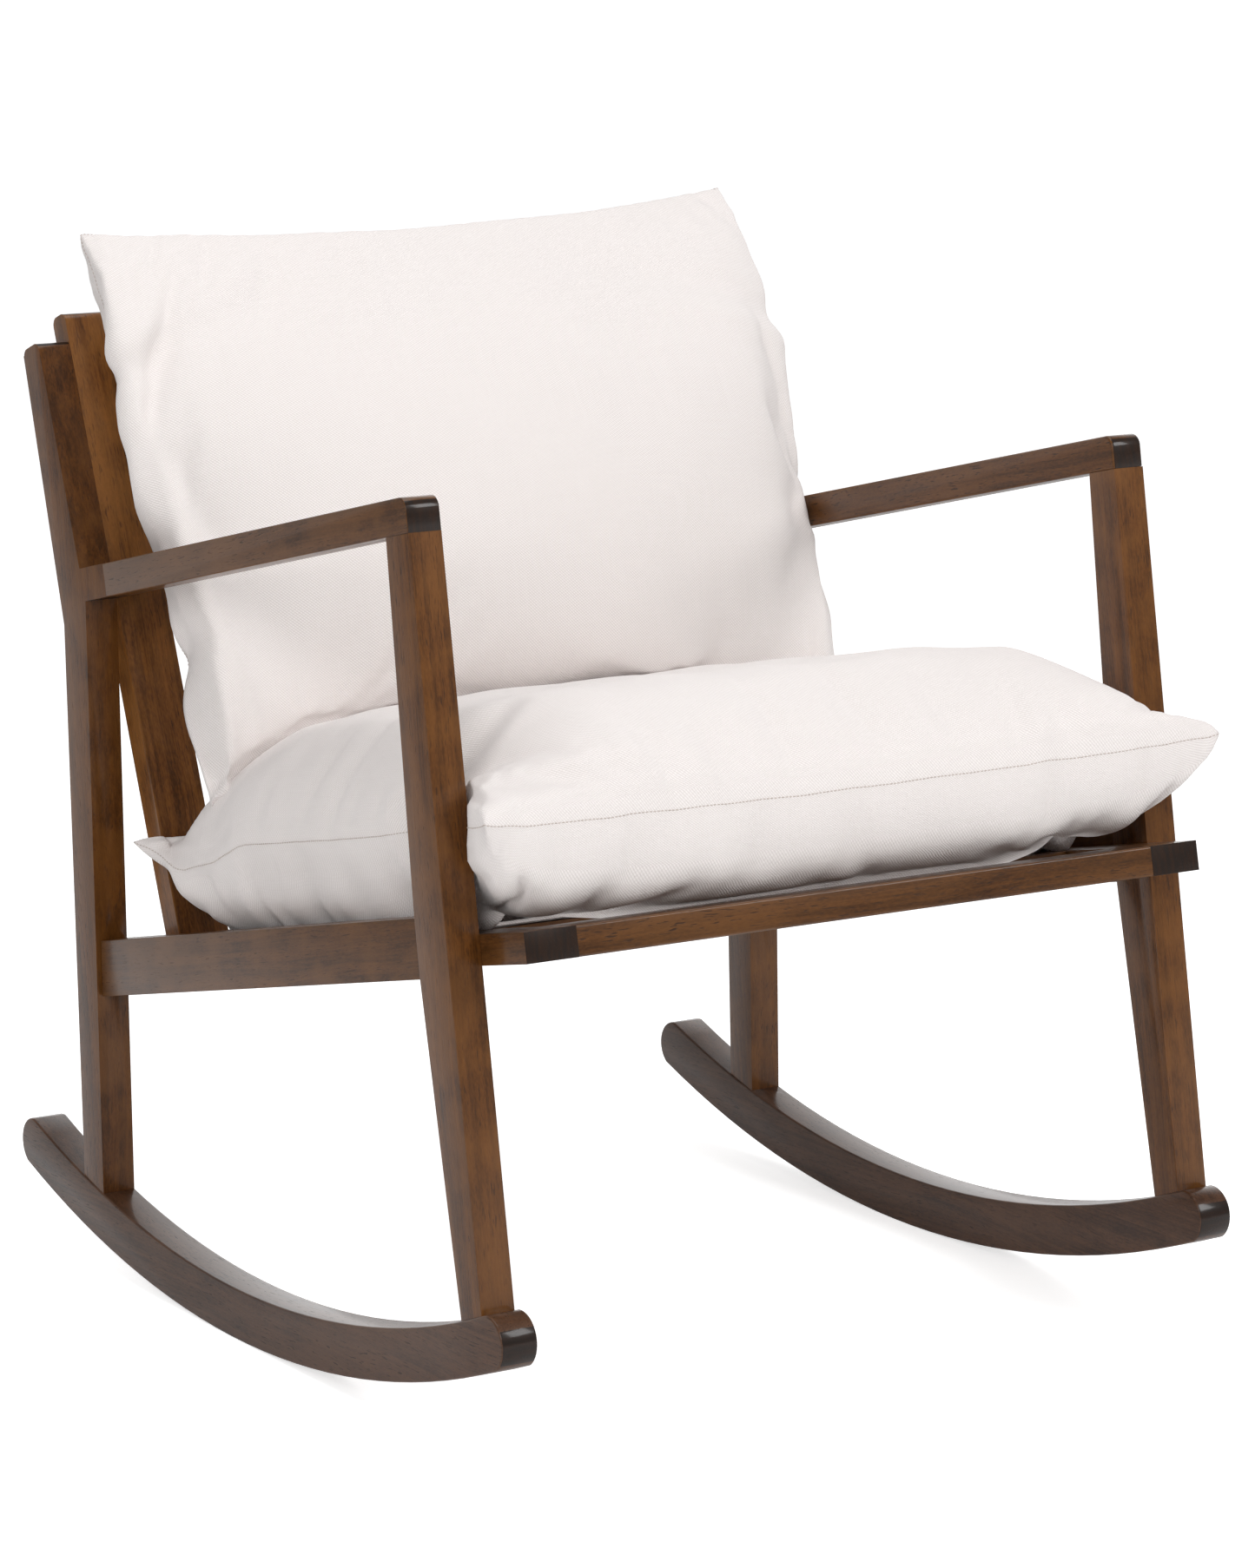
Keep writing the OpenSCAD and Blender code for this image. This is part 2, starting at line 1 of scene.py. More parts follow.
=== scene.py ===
# %% [markdown]
# # A rocking chair with two loose cushions
#
# This file is a lesson. The chair's structure comes from its CAD model: two side frames on curved
# runners, a slatted seat and back between them, and the metal that holds them. Here each wooden
# piece gets its eased edges and its stained finish, and the two cushions are sewn and stuffed.
#
# Everything is in metres. X runs across the chair to the sitter's left, the sitter faces -Y, and
# Z is up from the floor.

# %% Load the chair's frame
import math
import random

import bmesh
import bpy
import numpy as np
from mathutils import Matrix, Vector
from mathutils import noise as Noise
from mathutils.bvhtree import BVHTree


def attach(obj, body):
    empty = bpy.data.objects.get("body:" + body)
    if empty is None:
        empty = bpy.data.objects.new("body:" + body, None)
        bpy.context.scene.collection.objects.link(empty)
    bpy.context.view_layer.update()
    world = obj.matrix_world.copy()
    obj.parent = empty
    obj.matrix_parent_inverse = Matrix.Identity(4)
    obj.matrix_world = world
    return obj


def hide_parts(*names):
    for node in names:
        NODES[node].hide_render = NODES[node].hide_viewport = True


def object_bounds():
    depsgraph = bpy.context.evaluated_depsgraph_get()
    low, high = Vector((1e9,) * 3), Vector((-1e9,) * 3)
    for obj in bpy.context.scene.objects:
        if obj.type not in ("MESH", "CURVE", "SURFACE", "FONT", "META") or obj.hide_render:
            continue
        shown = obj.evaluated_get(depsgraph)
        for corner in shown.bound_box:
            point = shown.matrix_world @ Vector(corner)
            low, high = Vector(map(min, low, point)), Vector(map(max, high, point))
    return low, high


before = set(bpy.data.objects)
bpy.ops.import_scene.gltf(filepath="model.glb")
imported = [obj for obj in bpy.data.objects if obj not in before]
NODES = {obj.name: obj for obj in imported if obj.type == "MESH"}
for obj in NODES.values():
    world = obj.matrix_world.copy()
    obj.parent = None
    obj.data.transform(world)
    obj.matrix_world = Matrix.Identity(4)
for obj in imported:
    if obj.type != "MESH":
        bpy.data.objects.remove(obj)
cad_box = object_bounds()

SIDES = ("left", "right")
MM = 0.001
print("CAD box", [round(v, 4) for corner in cad_box for v in corner])

# %% [markdown]
# ## The studio
#
# The chair stands on a plain white floor that runs out past the edge of the view, so there is no
# horizon. A white floor in a bright studio glows, and a little emission in the floor's material
# does the same here for less work than a ring of extra lamps. It glows more to the camera than
# to the chair, so the page stays white while the undersides stay dark. The camera is a
# long lens a good four metres away, a little above the seat, and looks at the chair's front and
# at its right-hand side frame. A long lens keeps the legs nearly parallel.

# %% The camera
CAMERA_PLACE = (-2.25835, -3.60391, 1.24569)
CAMERA_AZIMUTH = math.radians(-32.308)
CAMERA_HEIGHT_ANGLE = math.radians(11.126)
SENSOR = 36.0
LENS = 125.14
FAR_CLIP = 200.0

camera_data = bpy.data.cameras.new("camera")
camera_data.sensor_width = SENSOR
camera_data.lens = LENS
camera_data.clip_end = FAR_CLIP
camera = bpy.data.objects.new("camera", camera_data)
camera.location = CAMERA_PLACE
camera.rotation_euler = (math.pi / 2 - CAMERA_HEIGHT_ANGLE, 0.0, CAMERA_AZIMUTH)
bpy.context.scene.collection.objects.link(camera)
bpy.context.scene.camera = camera
bpy.context.scene.view_settings.view_transform = "Standard"
print("camera lens", camera_data.lens, "mm")


# %% Small helpers for materials
def new_material(name):
    """A node material that holds only a Principled shader and its output."""
    made = bpy.data.materials.new(name)
    made.use_nodes = True
    return made, made.node_tree.nodes["Principled BSDF"]


def set_inputs(node, **values):
    """Sets a node's inputs by name, with _ for a space."""
    for name, value in values.items():
        node.inputs[name.replace("_", " ")].default_value = value
    return node


def wire(tree, source, target):
    """Joins an output socket to an input socket."""
    tree.links.new(source, target)


# %% The floor
FLOOR_REACH = 60.0
FLOOR_WHITE = 0.66
FLOOR_BOUNCE = 0.12

floor_mesh = bpy.data.meshes.new("floor")
floor_corners = [(x, y, 0.0) for x, y in ((-1, -1), (1, -1), (1, 1), (-1, 1))]
floor_mesh.from_pydata([Vector(c) * FLOOR_REACH for c in floor_corners], [], [(0, 1, 2, 3)])
floor = bpy.data.objects.new("floor", floor_mesh)
bpy.context.scene.collection.objects.link(floor)
floor_material, floor_shader = new_material("white floor")
floor_tree = floor_material.node_tree
set_inputs(floor_shader, Base_Color=(0.86, 0.86, 0.86, 1), Roughness=0.9)
set_inputs(floor_shader, Emission_Color=(1, 1, 1, 1))
seen = floor_tree.nodes.new("ShaderNodeLightPath")
glow = floor_tree.nodes.new("ShaderNodeMapRange")
set_inputs(glow, To_Min=FLOOR_BOUNCE, To_Max=FLOOR_WHITE)
wire(floor_tree, seen.outputs["Is Camera Ray"], glow.inputs["Value"])
wire(floor_tree, glow.outputs["Result"], floor_shader.inputs["Emission Strength"])
floor_mesh.materials.append(floor_material)


# %% [markdown]
# The light is soft on every side. The world is bright only straight behind the chair, where a
# lacquered face that is seen at a shallow angle mirrors it: that puts the pale sheen on the upper
# faces of the arms and runners. Everywhere else it is dim, which keeps the stained wood deep.
# Three large area lamps shape the cushions.

# %% The world and the lamps
BRIGHT_SIDE = (-math.sin(CAMERA_AZIMUTH), math.cos(CAMERA_AZIMUTH), 0.0)
SKY_DIM = 0.25
SKY_BRIGHT = 1.7
GLOW_STARTS = 0.45
GLOW_FULL = 0.95

world = bpy.data.worlds.new("studio")
bpy.context.scene.world = world
world.use_nodes = True
world_nodes = world.node_tree.nodes
sky_place = world_nodes.new("ShaderNodeTexCoord")
sky_side = world_nodes.new("ShaderNodeVectorMath")
sky_side.operation = "DOT_PRODUCT"
sky_side.inputs[1].default_value = BRIGHT_SIDE
sky_ramp = world_nodes.new("ShaderNodeMapRange")
set_inputs(sky_ramp, From_Min=GLOW_STARTS, From_Max=GLOW_FULL)
set_inputs(sky_ramp, To_Min=SKY_DIM, To_Max=SKY_BRIGHT)
wire(world.node_tree, sky_place.outputs["Generated"], sky_side.inputs[0])
wire(world.node_tree, sky_side.outputs["Value"], sky_ramp.inputs["Value"])
wire(world.node_tree, sky_ramp.outputs["Result"], world_nodes["Background"].inputs["Strength"])
world_nodes["Background"].inputs["Color"].default_value = (1.0, 1.0, 1.0, 1)


def softbox(name, place, aim, size, power):
    """A square area lamp at a place, turned to face a point."""
    data = bpy.data.lights.new(name, "AREA")
    data.size = size
    data.energy = power
    lamp = bpy.data.objects.new(name, data)
    lamp.location = place
    lamp.rotation_euler = (Vector(aim) - Vector(place)).to_track_quat("-Z", "Y").to_euler()
    bpy.context.scene.collection.objects.link(lamp)
    return lamp


chair_middle = (cad_box[0] + cad_box[1]) / 2
softbox("key", place=(1.7, -2.9, 2.5), aim=chair_middle, size=1.5, power=60.0)
softbox("fill", place=(-2.6, -2.4, 2.1), aim=chair_middle, size=1.6, power=48.0)
softbox("top", place=(-0.3, 0.1, 3.0), aim=chair_middle, size=2.0, power=27.0)

# %% [markdown]
# ## The wood
#
# The frame is a pale hardwood, stained walnut brown under a satin lacquer. Up close it has three
# things: long soft streaks where growth rings cross the board, short dark flecks where open pores
# took up the stain, and a faint mottle across the grain. The ends of boards are darker, because
# end grain drinks more stain. The crests of the eased edges are painted paler: partly where sanding
# cuts through the stain, and partly a painted highlight along the rounding.
#
# The pattern could be laid out in the chair's own X, Y and Z, but then it would run the same way
# in an upright leg and in a level rail. Instead each piece carries an attribute called grain: a
# point's place measured along the board, across it and through it. One material then serves
# every board, however it leans.

# %% A shader group for stained boards
def group_tree(name, inputs, outputs):
    """A shader node group with the sockets named, and its input and output nodes."""
    tree = bpy.data.node_groups.new(name, "ShaderNodeTree")
    for socket, kind, value in inputs:
        made = tree.interface.new_socket(socket, in_out="INPUT", socket_type=kind)
        if value is not None:
            made.default_value = value
    for socket, kind in outputs:
        tree.interface.new_socket(socket, in_out="OUTPUT", socket_type=kind)
    return tree, tree.nodes.new("NodeGroupInput"), tree.nodes.new("NodeGroupOutput")


def stretched(tree, vector, scale):
    """The vector with each part multiplied, which stretches a texture along the board."""
    node = tree.nodes.new("ShaderNodeVectorMath")
    node.operation = "MULTIPLY"
    wire(tree, vector, node.inputs[0])
    node.inputs[1].default_value = scale
    return node.outputs[0]


def noise(tree, vector, detail, roughness=0.5):
    """Smooth noise of one wave to the unit of its vector."""
    node = tree.nodes.new("ShaderNodeTexNoise")
    set_inputs(node, Scale=1.0, Detail=detail, Roughness=roughness)
    wire(tree, vector, node.inputs["Vector"])
    return node.outputs["Fac"]


def ramped(tree, value, low, high, to_low=0.0, to_high=1.0):
    """The value's stretch from low to high, eased to run from to_low to to_high."""
    node = tree.nodes.new("ShaderNodeMapRange")
    node.interpolation_type = "SMOOTHSTEP"
    set_inputs(node, From_Min=low, From_Max=high, To_Min=to_low, To_Max=to_high)
    wire(tree, value, node.inputs["Value"])
    return node.outputs["Result"]


def arithmetic(tree, operation, *values):
    """One Math node; numbers are set, and sockets are linked."""
    node = tree.nodes.new("ShaderNodeMath")
    node.operation = operation
    for socket, value in zip(node.inputs, values):
        if isinstance(value, bpy.types.NodeSocket):
            wire(tree, value, socket)
        else:
            socket.default_value = value
    return node.outputs[0]


def mixed(tree, factor, a, b, blend="MIX"):
    """A colour Mix node; colours are tuples or sockets."""
    node = tree.nodes.new("ShaderNodeMix")
    node.data_type = "RGBA"
    node.blend_type = blend
    for socket, value in ((node.inputs[0], factor), (node.inputs[6], a), (node.inputs[7], b)):
        if isinstance(value, bpy.types.NodeSocket):
            wire(tree, value, socket)
        else:
            socket.default_value = value
    return node.outputs[2]


# Waves to the metre along the board, across it and through it
DRIFT_WAVES = (3.0, 14.0, 14.0)
BROAD_WAVES = (4.0, 9.0, 9.0)
RING_WAVES = (2.6, 120.0, 120.0)
STREAK_WAVES = (12.0, 420.0, 420.0)
FIBRE_WAVES = (240.0, 950.0, 950.0)
MOTTLE_WAVES = (26.0, 38.0, 38.0)
PORE_WAVES = (85.0, 850.0, 850.0)
END_RING_WAVES = (5.0, 300.0, 60.0)

# How strongly each one shows in the colour
RING_SHARE = 0.5
STREAK_SHARE = 0.36
MOTTLE_SHARE = 0.12
FIBRE_SHARE = 0.32
PORE_SHARE = 0.8

PORE_STAIN = (0.018, 0.008, 0.004, 1)
END_STAIN = (0.012, 0.007, 0.005, 1)


def wandering(tree, grain):
    """The board's place, pushed a little sideways so that its streaks are not ruled lines."""
    drift = noise(tree, stretched(tree, grain, DRIFT_WAVES), 2.0)
    push = tree.nodes.new("ShaderNodeCombineXYZ")
    wire(tree, arithmetic(tree, "MULTIPLY", drift, 0.03), push.inputs["Y"])
    wire(tree, arithmetic(tree, "MULTIPLY", drift, 0.02), push.inputs["Z"])
    pushed = tree.nodes.new("ShaderNodeVectorMath")
    pushed.operation = "ADD"
    wire(tree, grain, pushed.inputs[0])
    wire(tree, push.outputs[0], pushed.inputs[1])
    return pushed.outputs[0]


def build_board_grain():
    """Streaks, pores and mottle on a board, from its grain coordinates in metres."""
    tree, enter, leave = group_tree(
        "board grain",
        [
            ("Grain", "NodeSocketVector", None),
            ("End Grain", "NodeSocketFloat", 0.0),
            ("Arris", "NodeSocketFloat", 0.0),
            ("Deep", "NodeSocketColor", (0.03, 0.012, 0.005, 1)),
            ("Warm", "NodeSocketColor", (0.12, 0.05, 0.018, 1)),
            ("Pale", "NodeSocketColor", (0.2, 0.09, 0.035, 1)),
        ],
        [
            ("Color", "NodeSocketColor"),
            ("Roughness", "NodeSocketFloat"),
            ("Height", "NodeSocketFloat"),
        ],
    )
    grain = enter.outputs["Grain"]
    end_grain = enter.outputs["End Grain"]
    deep, warm, pale = (enter.outputs[stain] for stain in ("Deep", "Warm", "Pale"))
    board = wandering(tree, grain)
    rings = noise(tree, stretched(tree, board, RING_WAVES), 3.0)
    streaks = noise(tree, stretched(tree, board, STREAK_WAVES), 2.0)
    fibres = noise(tree, stretched(tree, board, FIBRE_WAVES), 1.0)
    mottle = noise(tree, stretched(tree, grain, MOTTLE_WAVES), 2.0)
    broad = noise(tree, stretched(tree, grain, BROAD_WAVES), 1.0)
    pores = ramped(tree, noise(tree, stretched(tree, board, PORE_WAVES), 1.0), 0.60, 0.70)
    pores = arithmetic(tree, "MULTIPLY", pores, ramped(tree, rings, 0.35, 0.6, 0.3, 1.0))

    # Along the board: each layer is added to the one before
    tone = arithmetic(tree, "MULTIPLY", ramped(tree, rings, 0.34, 0.66), RING_SHARE)
    for layer, share in (
        (ramped(tree, streaks, 0.34, 0.66), STREAK_SHARE),
        (ramped(tree, mottle, 0.3, 0.7), MOTTLE_SHARE),
        (ramped(tree, fibres, 0.35, 0.65, -0.5, 0.5), FIBRE_SHARE),
    ):
        tone = arithmetic(tree, "MULTIPLY_ADD", layer, share, tone)
    lengthways = mixed(tree, tone, deep, warm)
    lengthways = mixed(tree, ramped(tree, broad, 0.42, 0.75, 0.0, 0.4), lengthways, pale)
    stained_pores = arithmetic(tree, "MULTIPLY", pores, PORE_SHARE)
    lengthways = mixed(tree, stained_pores, lengthways, PORE_STAIN)

    # On the ends, and on the edges between them, whose crests are painted paler: partly worn stain
    # and partly a painted highlight
    end_rings = noise(tree, stretched(tree, grain, END_RING_WAVES), 3.0)
    end_color = mixed(tree, ramped(tree, end_rings, 0.35, 0.65, 0.1, 0.5), END_STAIN, deep)
    color = mixed(tree, end_grain, lengthways, end_color)
    worn = ramped(tree, mottle, 0.35, 0.65, 0.1, 0.5)
    rubbed_and_highlit = arithmetic(tree, "MULTIPLY", enter.outputs["Arris"], worn)
    rubbed_and_highlit = arithmetic(tree, "MULTIPLY", rubbed_and_highlit, arithmetic(tree, "SUBTRACT", 1.0, end_grain))
    wire(tree, mixed(tree, rubbed_and_highlit, color, pale), leave.inputs["Color"])

    rough = ramped(tree, broad, 0.3, 0.7, 0.34, 0.44)
    rough = arithmetic(tree, "MULTIPLY_ADD", pores, 0.12, rough)
    wire(tree, rough, leave.inputs["Roughness"])
    fine_height = arithmetic(tree, "MULTIPLY", streaks, 0.4)
    height = arithmetic(tree, "MULTIPLY_ADD", pores, -0.8, fine_height)
    wire(tree, height, leave.inputs["Height"])
    return tree


board_grain = build_board_grain()
print("group", board_grain.name, "with", len(board_grain.nodes), "nodes")


# %% Stained wood in a few lots
def attribute_socket(tree, name, output):
    """An output of a mesh attribute, for use in a material."""
    node = tree.nodes.new("ShaderNodeAttribute")
    node.attribute_type = "GEOMETRY"
    node.attribute_name = name
    return node.outputs[output]


def bumped(tree, height, shader, strength, distance):
    """A Bump node from a height, into the shader's normal."""
    node = tree.nodes.new("ShaderNodeBump")
    set_inputs(node, Strength=strength, Distance=distance)
    wire(tree, height, node.inputs["Height"])
    wire(tree, node.outputs["Normal"], shader.inputs["Normal"])
    return node


def stained_wood(name, deep, warm, pale):
    """Walnut stain under satin lacquer, for one lot of boards."""
    made, shader = new_material(name)
    tree = made.node_tree
    group = tree.nodes.new("ShaderNodeGroup")
    group.node_tree = board_grain
    wire(tree, attribute_socket(tree, "grain", "Vector"), group.inputs["Grain"])
    wire(tree, attribute_socket(tree, "end_grain", "Fac"), group.inputs["End Grain"])
    wire(tree, attribute_socket(tree, "arris", "Fac"), group.inputs["Arris"])
    set_inputs(group, Deep=(*deep, 1), Warm=(*warm, 1), Pale=(*pale, 1))
    wire(tree, group.outputs["Color"], shader.inputs["Base Color"])
    wire(tree, group.outputs["Roughness"], shader.inputs["Roughness"])
    bumped(tree, group.outputs["Height"], shader, strength=0.35, distance=0.4 * MM)
    set_inputs(shader, Coat_Weight=0.5, Coat_Roughness=0.14, Coat_IOR=1.45)
    set_inputs(shader, Specular_IOR_Level=0.15)
    return made


# Each lot took the stain a little differently. The stiles' lot is partly that and partly painted
# light: it is made paler to stand in for the light that falls on the stiles' fronts
WOOD = {
    "legs": stained_wood(
        "walnut stain, legs",
        deep=(0.034, 0.0105, 0.0020), warm=(0.128, 0.044, 0.0085), pale=(0.180, 0.070, 0.015),
    ),
    "rails": stained_wood(
        "walnut stain, rails",
        deep=(0.032, 0.0110, 0.0026), warm=(0.110, 0.041, 0.0100), pale=(0.160, 0.066, 0.018),
    ),
    "stiles": stained_wood(
        "walnut stain, stiles",
        deep=(0.055, 0.018, 0.0035), warm=(0.200, 0.072, 0.0155), pale=(0.270, 0.112, 0.027),
    ),
    "runners": stained_wood(
        "walnut stain, runners",
        deep=(0.030, 0.012, 0.006), warm=(0.088, 0.038, 0.018), pale=(0.13, 0.061, 0.031),
    ),
    "slats": stained_wood(
        "walnut stain, slats",
        deep=(0.034, 0.013, 0.005), warm=(0.110, 0.045, 0.015), pale=(0.16, 0.072, 0.026),
    ),
}
print("wood lots", sorted(WOOD))

# %% [markdown]
# ## Boards with eased edges
#
# A real board has its edges rounded over with a small router bit before it is assembled, but not
# where it is glued to its neighbour: there the edges stay nearly sharp and make a thin dark line.
# So each board is made from a copy of its CAD mesh. Loose triangles are merged, flat faces are
# joined up, and each sharp edge is rounded with a bevel. An edge that lies on another piece gets
# a weight that shrinks its bevel to a hairline. The copy then gets its grain attribute.

# %% What lies against each board
ARRIS = 2.0 * MM
JOINT_ARRIS = 0.35 * MM
SLAT_ARRIS = 1.6 * MM
TOUCHING = 0.6 * MM
SAME_POINT = 0.01 * MM
SHARP = math.radians(28)
FLAT = math.radians(0.5)


def merged_copy(node, name):
    """A new object with the node's mesh, its doubles merged and its flat faces joined up."""
    data = NODES[node].data.copy()
    data.name = name
    work = bmesh.new()
    work.from_mesh(data)
    bmesh.ops.remove_doubles(work, verts=work.verts, dist=SAME_POINT)
    bmesh.ops.dissolve_limit(work, angle_limit=FLAT, verts=work.verts, edges=work.edges)
    work.to_mesh(data)
    work.free()
    data.materials.clear()
    made = bpy.data.objects.new(name, data)
    bpy.context.scene.collection.objects.link(made)
    return made


def surface_tree(nodes):
    """One search tree over several CAD nodes' surfaces."""
    points, faces = [], []
    for node in nodes:
        mesh = NODES[node].data
        start = len(points)
        points += [v.co.copy() for v in mesh.vertices]
        faces += [[start + i for i in p.vertices] for p in mesh.polygons]
    return BVHTree.FromPolygons(points, faces)


WOODEN = [
    n for n in NODES
    if not n.endswith(("cushion", "dowels", "screws", "bolts", "washers", "inserts"))
]
JOINED_TO = {node: surface_tree([n for n in WOODEN if n != node]) for node in WOODEN}
print(len(WOODEN), "wooden pieces")


# %% Round over the edges
def on_neighbour(edge, tree):
    """Whether most of an edge lies against another wooden piece."""
    a, b = (v.co for v in edge.verts)
    hits = 0
    for share in (0.15, 0.5, 0.85):
        *_, distance = tree.find_nearest(a.lerp(b, share))
        hits += distance is not None and distance < TOUCHING
    return hits >= 2


def round_over(piece, node, width):
    """Bevels the sharp edges: width where they are free, a hairline where they are glued."""
    work = bmesh.new()
    work.from_mesh(piece.data)
    layer = work.edges.layers.float.new("bevel_weight_edge")
    crests = []
    for edge in work.edges:
        if len(edge.link_faces) == 2 and edge.calc_face_angle(0.0) > SHARP:
            glued = on_neighbour(edge, JOINED_TO[node])
            edge[layer] = JOINT_ARRIS / width if glued else 1.0
            if not glued:
                crests.append((edge.verts[0].co.copy(), edge.verts[1].co.copy()))
    work.to_mesh(piece.data)
    work.free()
    bevel = piece.modifiers.new("eased edges", "BEVEL")
    bevel.width = width
    bevel.segments = 3
    bevel.limit_method = "WEIGHT"
    bevel.use_clamp_overlap = True
    bevel.harden_normals = False
    apply_modifiers(piece)
    return crests


def apply_modifiers(piece):
    """Replaces the piece's mesh with what its modifiers give, and removes them."""
    graph = bpy.context.evaluated_depsgraph_get()
    graph.update()
    finished = bpy.data.meshes.new_from_object(piece.evaluated_get(graph))
    old = piece.data
    piece.modifiers.clear()
    piece.data = finished
    bpy.data.meshes.remove(old)
    return piece


# %% [markdown]
# The grain attribute needs each board's own directions, and its faces tell them: hardly any of
# them looks along the board's length, and the biggest ones look through its thickness. Two more
# attributes go with it: end_grain is 1 on faces that look along the board, and arris rises from 0
# at the edge of a rounding to 1 on its crest, where the colour is painted paler: partly stain
# rubbed thin, and partly a painted highlight.

# %% Grain, ends and arrises as attributes
LOT_STEP = np.array([1.7, 0.43, 0.29])
CREST_SHARE = 0.6
END_FACING = 0.75
SMOOTH_BELOW = math.radians(40)


def board_axes(mesh):
    """A board's middle and its unit directions: along, across and through."""
    points = np.array([v.co for v in mesh.vertices])
    middle = (points.min(0) + points.max(0)) / 2
    normals = np.array([p.normal for p in mesh.polygons])
    areas = np.array([p.area for p in mesh.polygons])
    spread = (normals * areas[:, None]).T @ normals
    values, vectors = np.linalg.eigh(spread)
    along = vectors[:, 0]
    through = vectors[:, 2]
    across = np.cross(through, along)
    return middle, np.array([along, across, through])


def segment_distance(points, a, b):
    """The distance of each point from the line between a and b."""
    way = b - a
    share = np.clip(((points - a) @ way) / max(way @ way, 1e-12), 0, 1)
    return np.linalg.norm(points - (a + share[:, None] * way), axis=1)


def write_point_values(mesh, name, kind, values):
    """Stores one number or one vector for each of the mesh's points."""
    layer = mesh.attributes.new(name, kind, "POINT")
    key = "vector" if kind == "FLOAT_VECTOR" else "value"
    layer.data.foreach_set(key, np.asarray(values, np.float32).ravel())


def mark_board(piece, crests, width, lot_number):
    """Writes the grain, end_grain and arris attributes on a board."""
    mesh = piece.data
    middle, axes = board_axes(mesh)
    points = np.array([v.co for v in mesh.vertices])
    places = (points - middle) @ axes.T
    places += LOT_STEP * (lot_number + 1)
    write_point_values(mesh, "grain", "FLOAT_VECTOR", places)
    nearest = np.full(len(points), 1.0)
    for a, b in crests:
        nearest = np.minimum(nearest, segment_distance(points, np.array(a), np.array(b)))
    crest = np.clip((width - nearest) / (CREST_SHARE * width), 0, 1)
    write_point_values(mesh, "arris", "FLOAT", crest)
    ends = mesh.attributes.new("end_grain", "FLOAT", "CORNER")
    values = np.zeros(len(mesh.loops), np.float32)
    for face in mesh.polygons:
        lookup = abs(float(np.array(face.normal) @ axes[0]))
        values[face.loop_start : face.loop_start + face.loop_total] = float(lookup > END_FACING)
    ends.data.foreach_set("value", values)
    for face in mesh.polygons:
        face.use_smooth = True
    mesh.set_sharp_from_angle(angle=SMOOTH_BELOW)


def board(node, lot, lot_number, width=ARRIS):
    """A finished wooden piece that stands for a CAD node."""
    piece = merged_copy(node, node + "_board")
    crests = round_over(piece, node, width)
    mark_board(piece, crests, width, lot_number)
    piece.data.materials.append(WOOD[lot])
    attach(piece, "frame")
    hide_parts(node)
    return piece


# %% [markdown]
# ## The side frames
#
# Each side frame is a runner, two legs, an arm and a side rail. Their shapes come from the CAD
# nodes, so this step only finishes them.

# %% Make the side frames
SIDE_LOTS = {
    "rocker": "runners",
    "front_leg": "legs",
    "rear_leg": "legs",
    "arm": "rails",
    "side_rail": "rails",
}
side_boards = []
for side_number, side in enumerate(SIDES):
    for number, (kind, lot) in enumerate(SIDE_LOTS.items()):
        lot_number = number + len(SIDE_LOTS) * side_number
        side_boards.append(board(f"{side}_{kind}", lot, lot_number))
side_faces = sum(len(b.data.polygons) for b in side_boards)
print(len(side_boards), "boards in the side frames,", side_faces, "faces")

# %% [markdown]
# ## The seat frame and the back frame
#
# The seat is two flat side members with a front rail between them, and the back is two stiles
# with a rail at their foot. Ten slats are let into them.

# %% Make the seat and back frames
INNER_ENDINGS = ("seat_member", "back_stile", "front_rail", "bottom_rail")
INNER_BOARDS = sorted(n for n in WOODEN if n.endswith(INNER_ENDINGS))
SLATS = sorted(n for n in WOODEN if "_slat_" in n)
FIRST_INNER_LOT = 11
FIRST_SLAT_LOT = 21

inner_boards = [
    board(n, "stiles" if n.endswith("stile") else "rails", FIRST_INNER_LOT + i)
    for i, n in enumerate(INNER_BOARDS)
]
slat_boards = [
    board(n, "slats", FIRST_SLAT_LOT + i, SLAT_ARRIS) for i, n in enumerate(SLATS)
]
print(len(inner_boards) + len(slat_boards), "boards between the side frames")

# %% [markdown]
# ## The cloth
#
# The cushions are covered in an off-white cotton with a small diagonal weave. A weave is a
# regular pattern of threads, so it is drawn with waves and not with noise: one wave runs along the
# diagonal, a second one breaks it into short floats, and a little noise makes some threads fatter
# than others. It is laid out in the cover's own UV map, which holds metres along the cloth, so the
# threads keep their size and follow the cushion round its curves.

# %% A shader group for woven cloth
WEFT_WAVES = (14.0, 700.0, 1.0)
WARP_WAVES = (700.0, 14.0, 1.0)
SOILED = 0.93


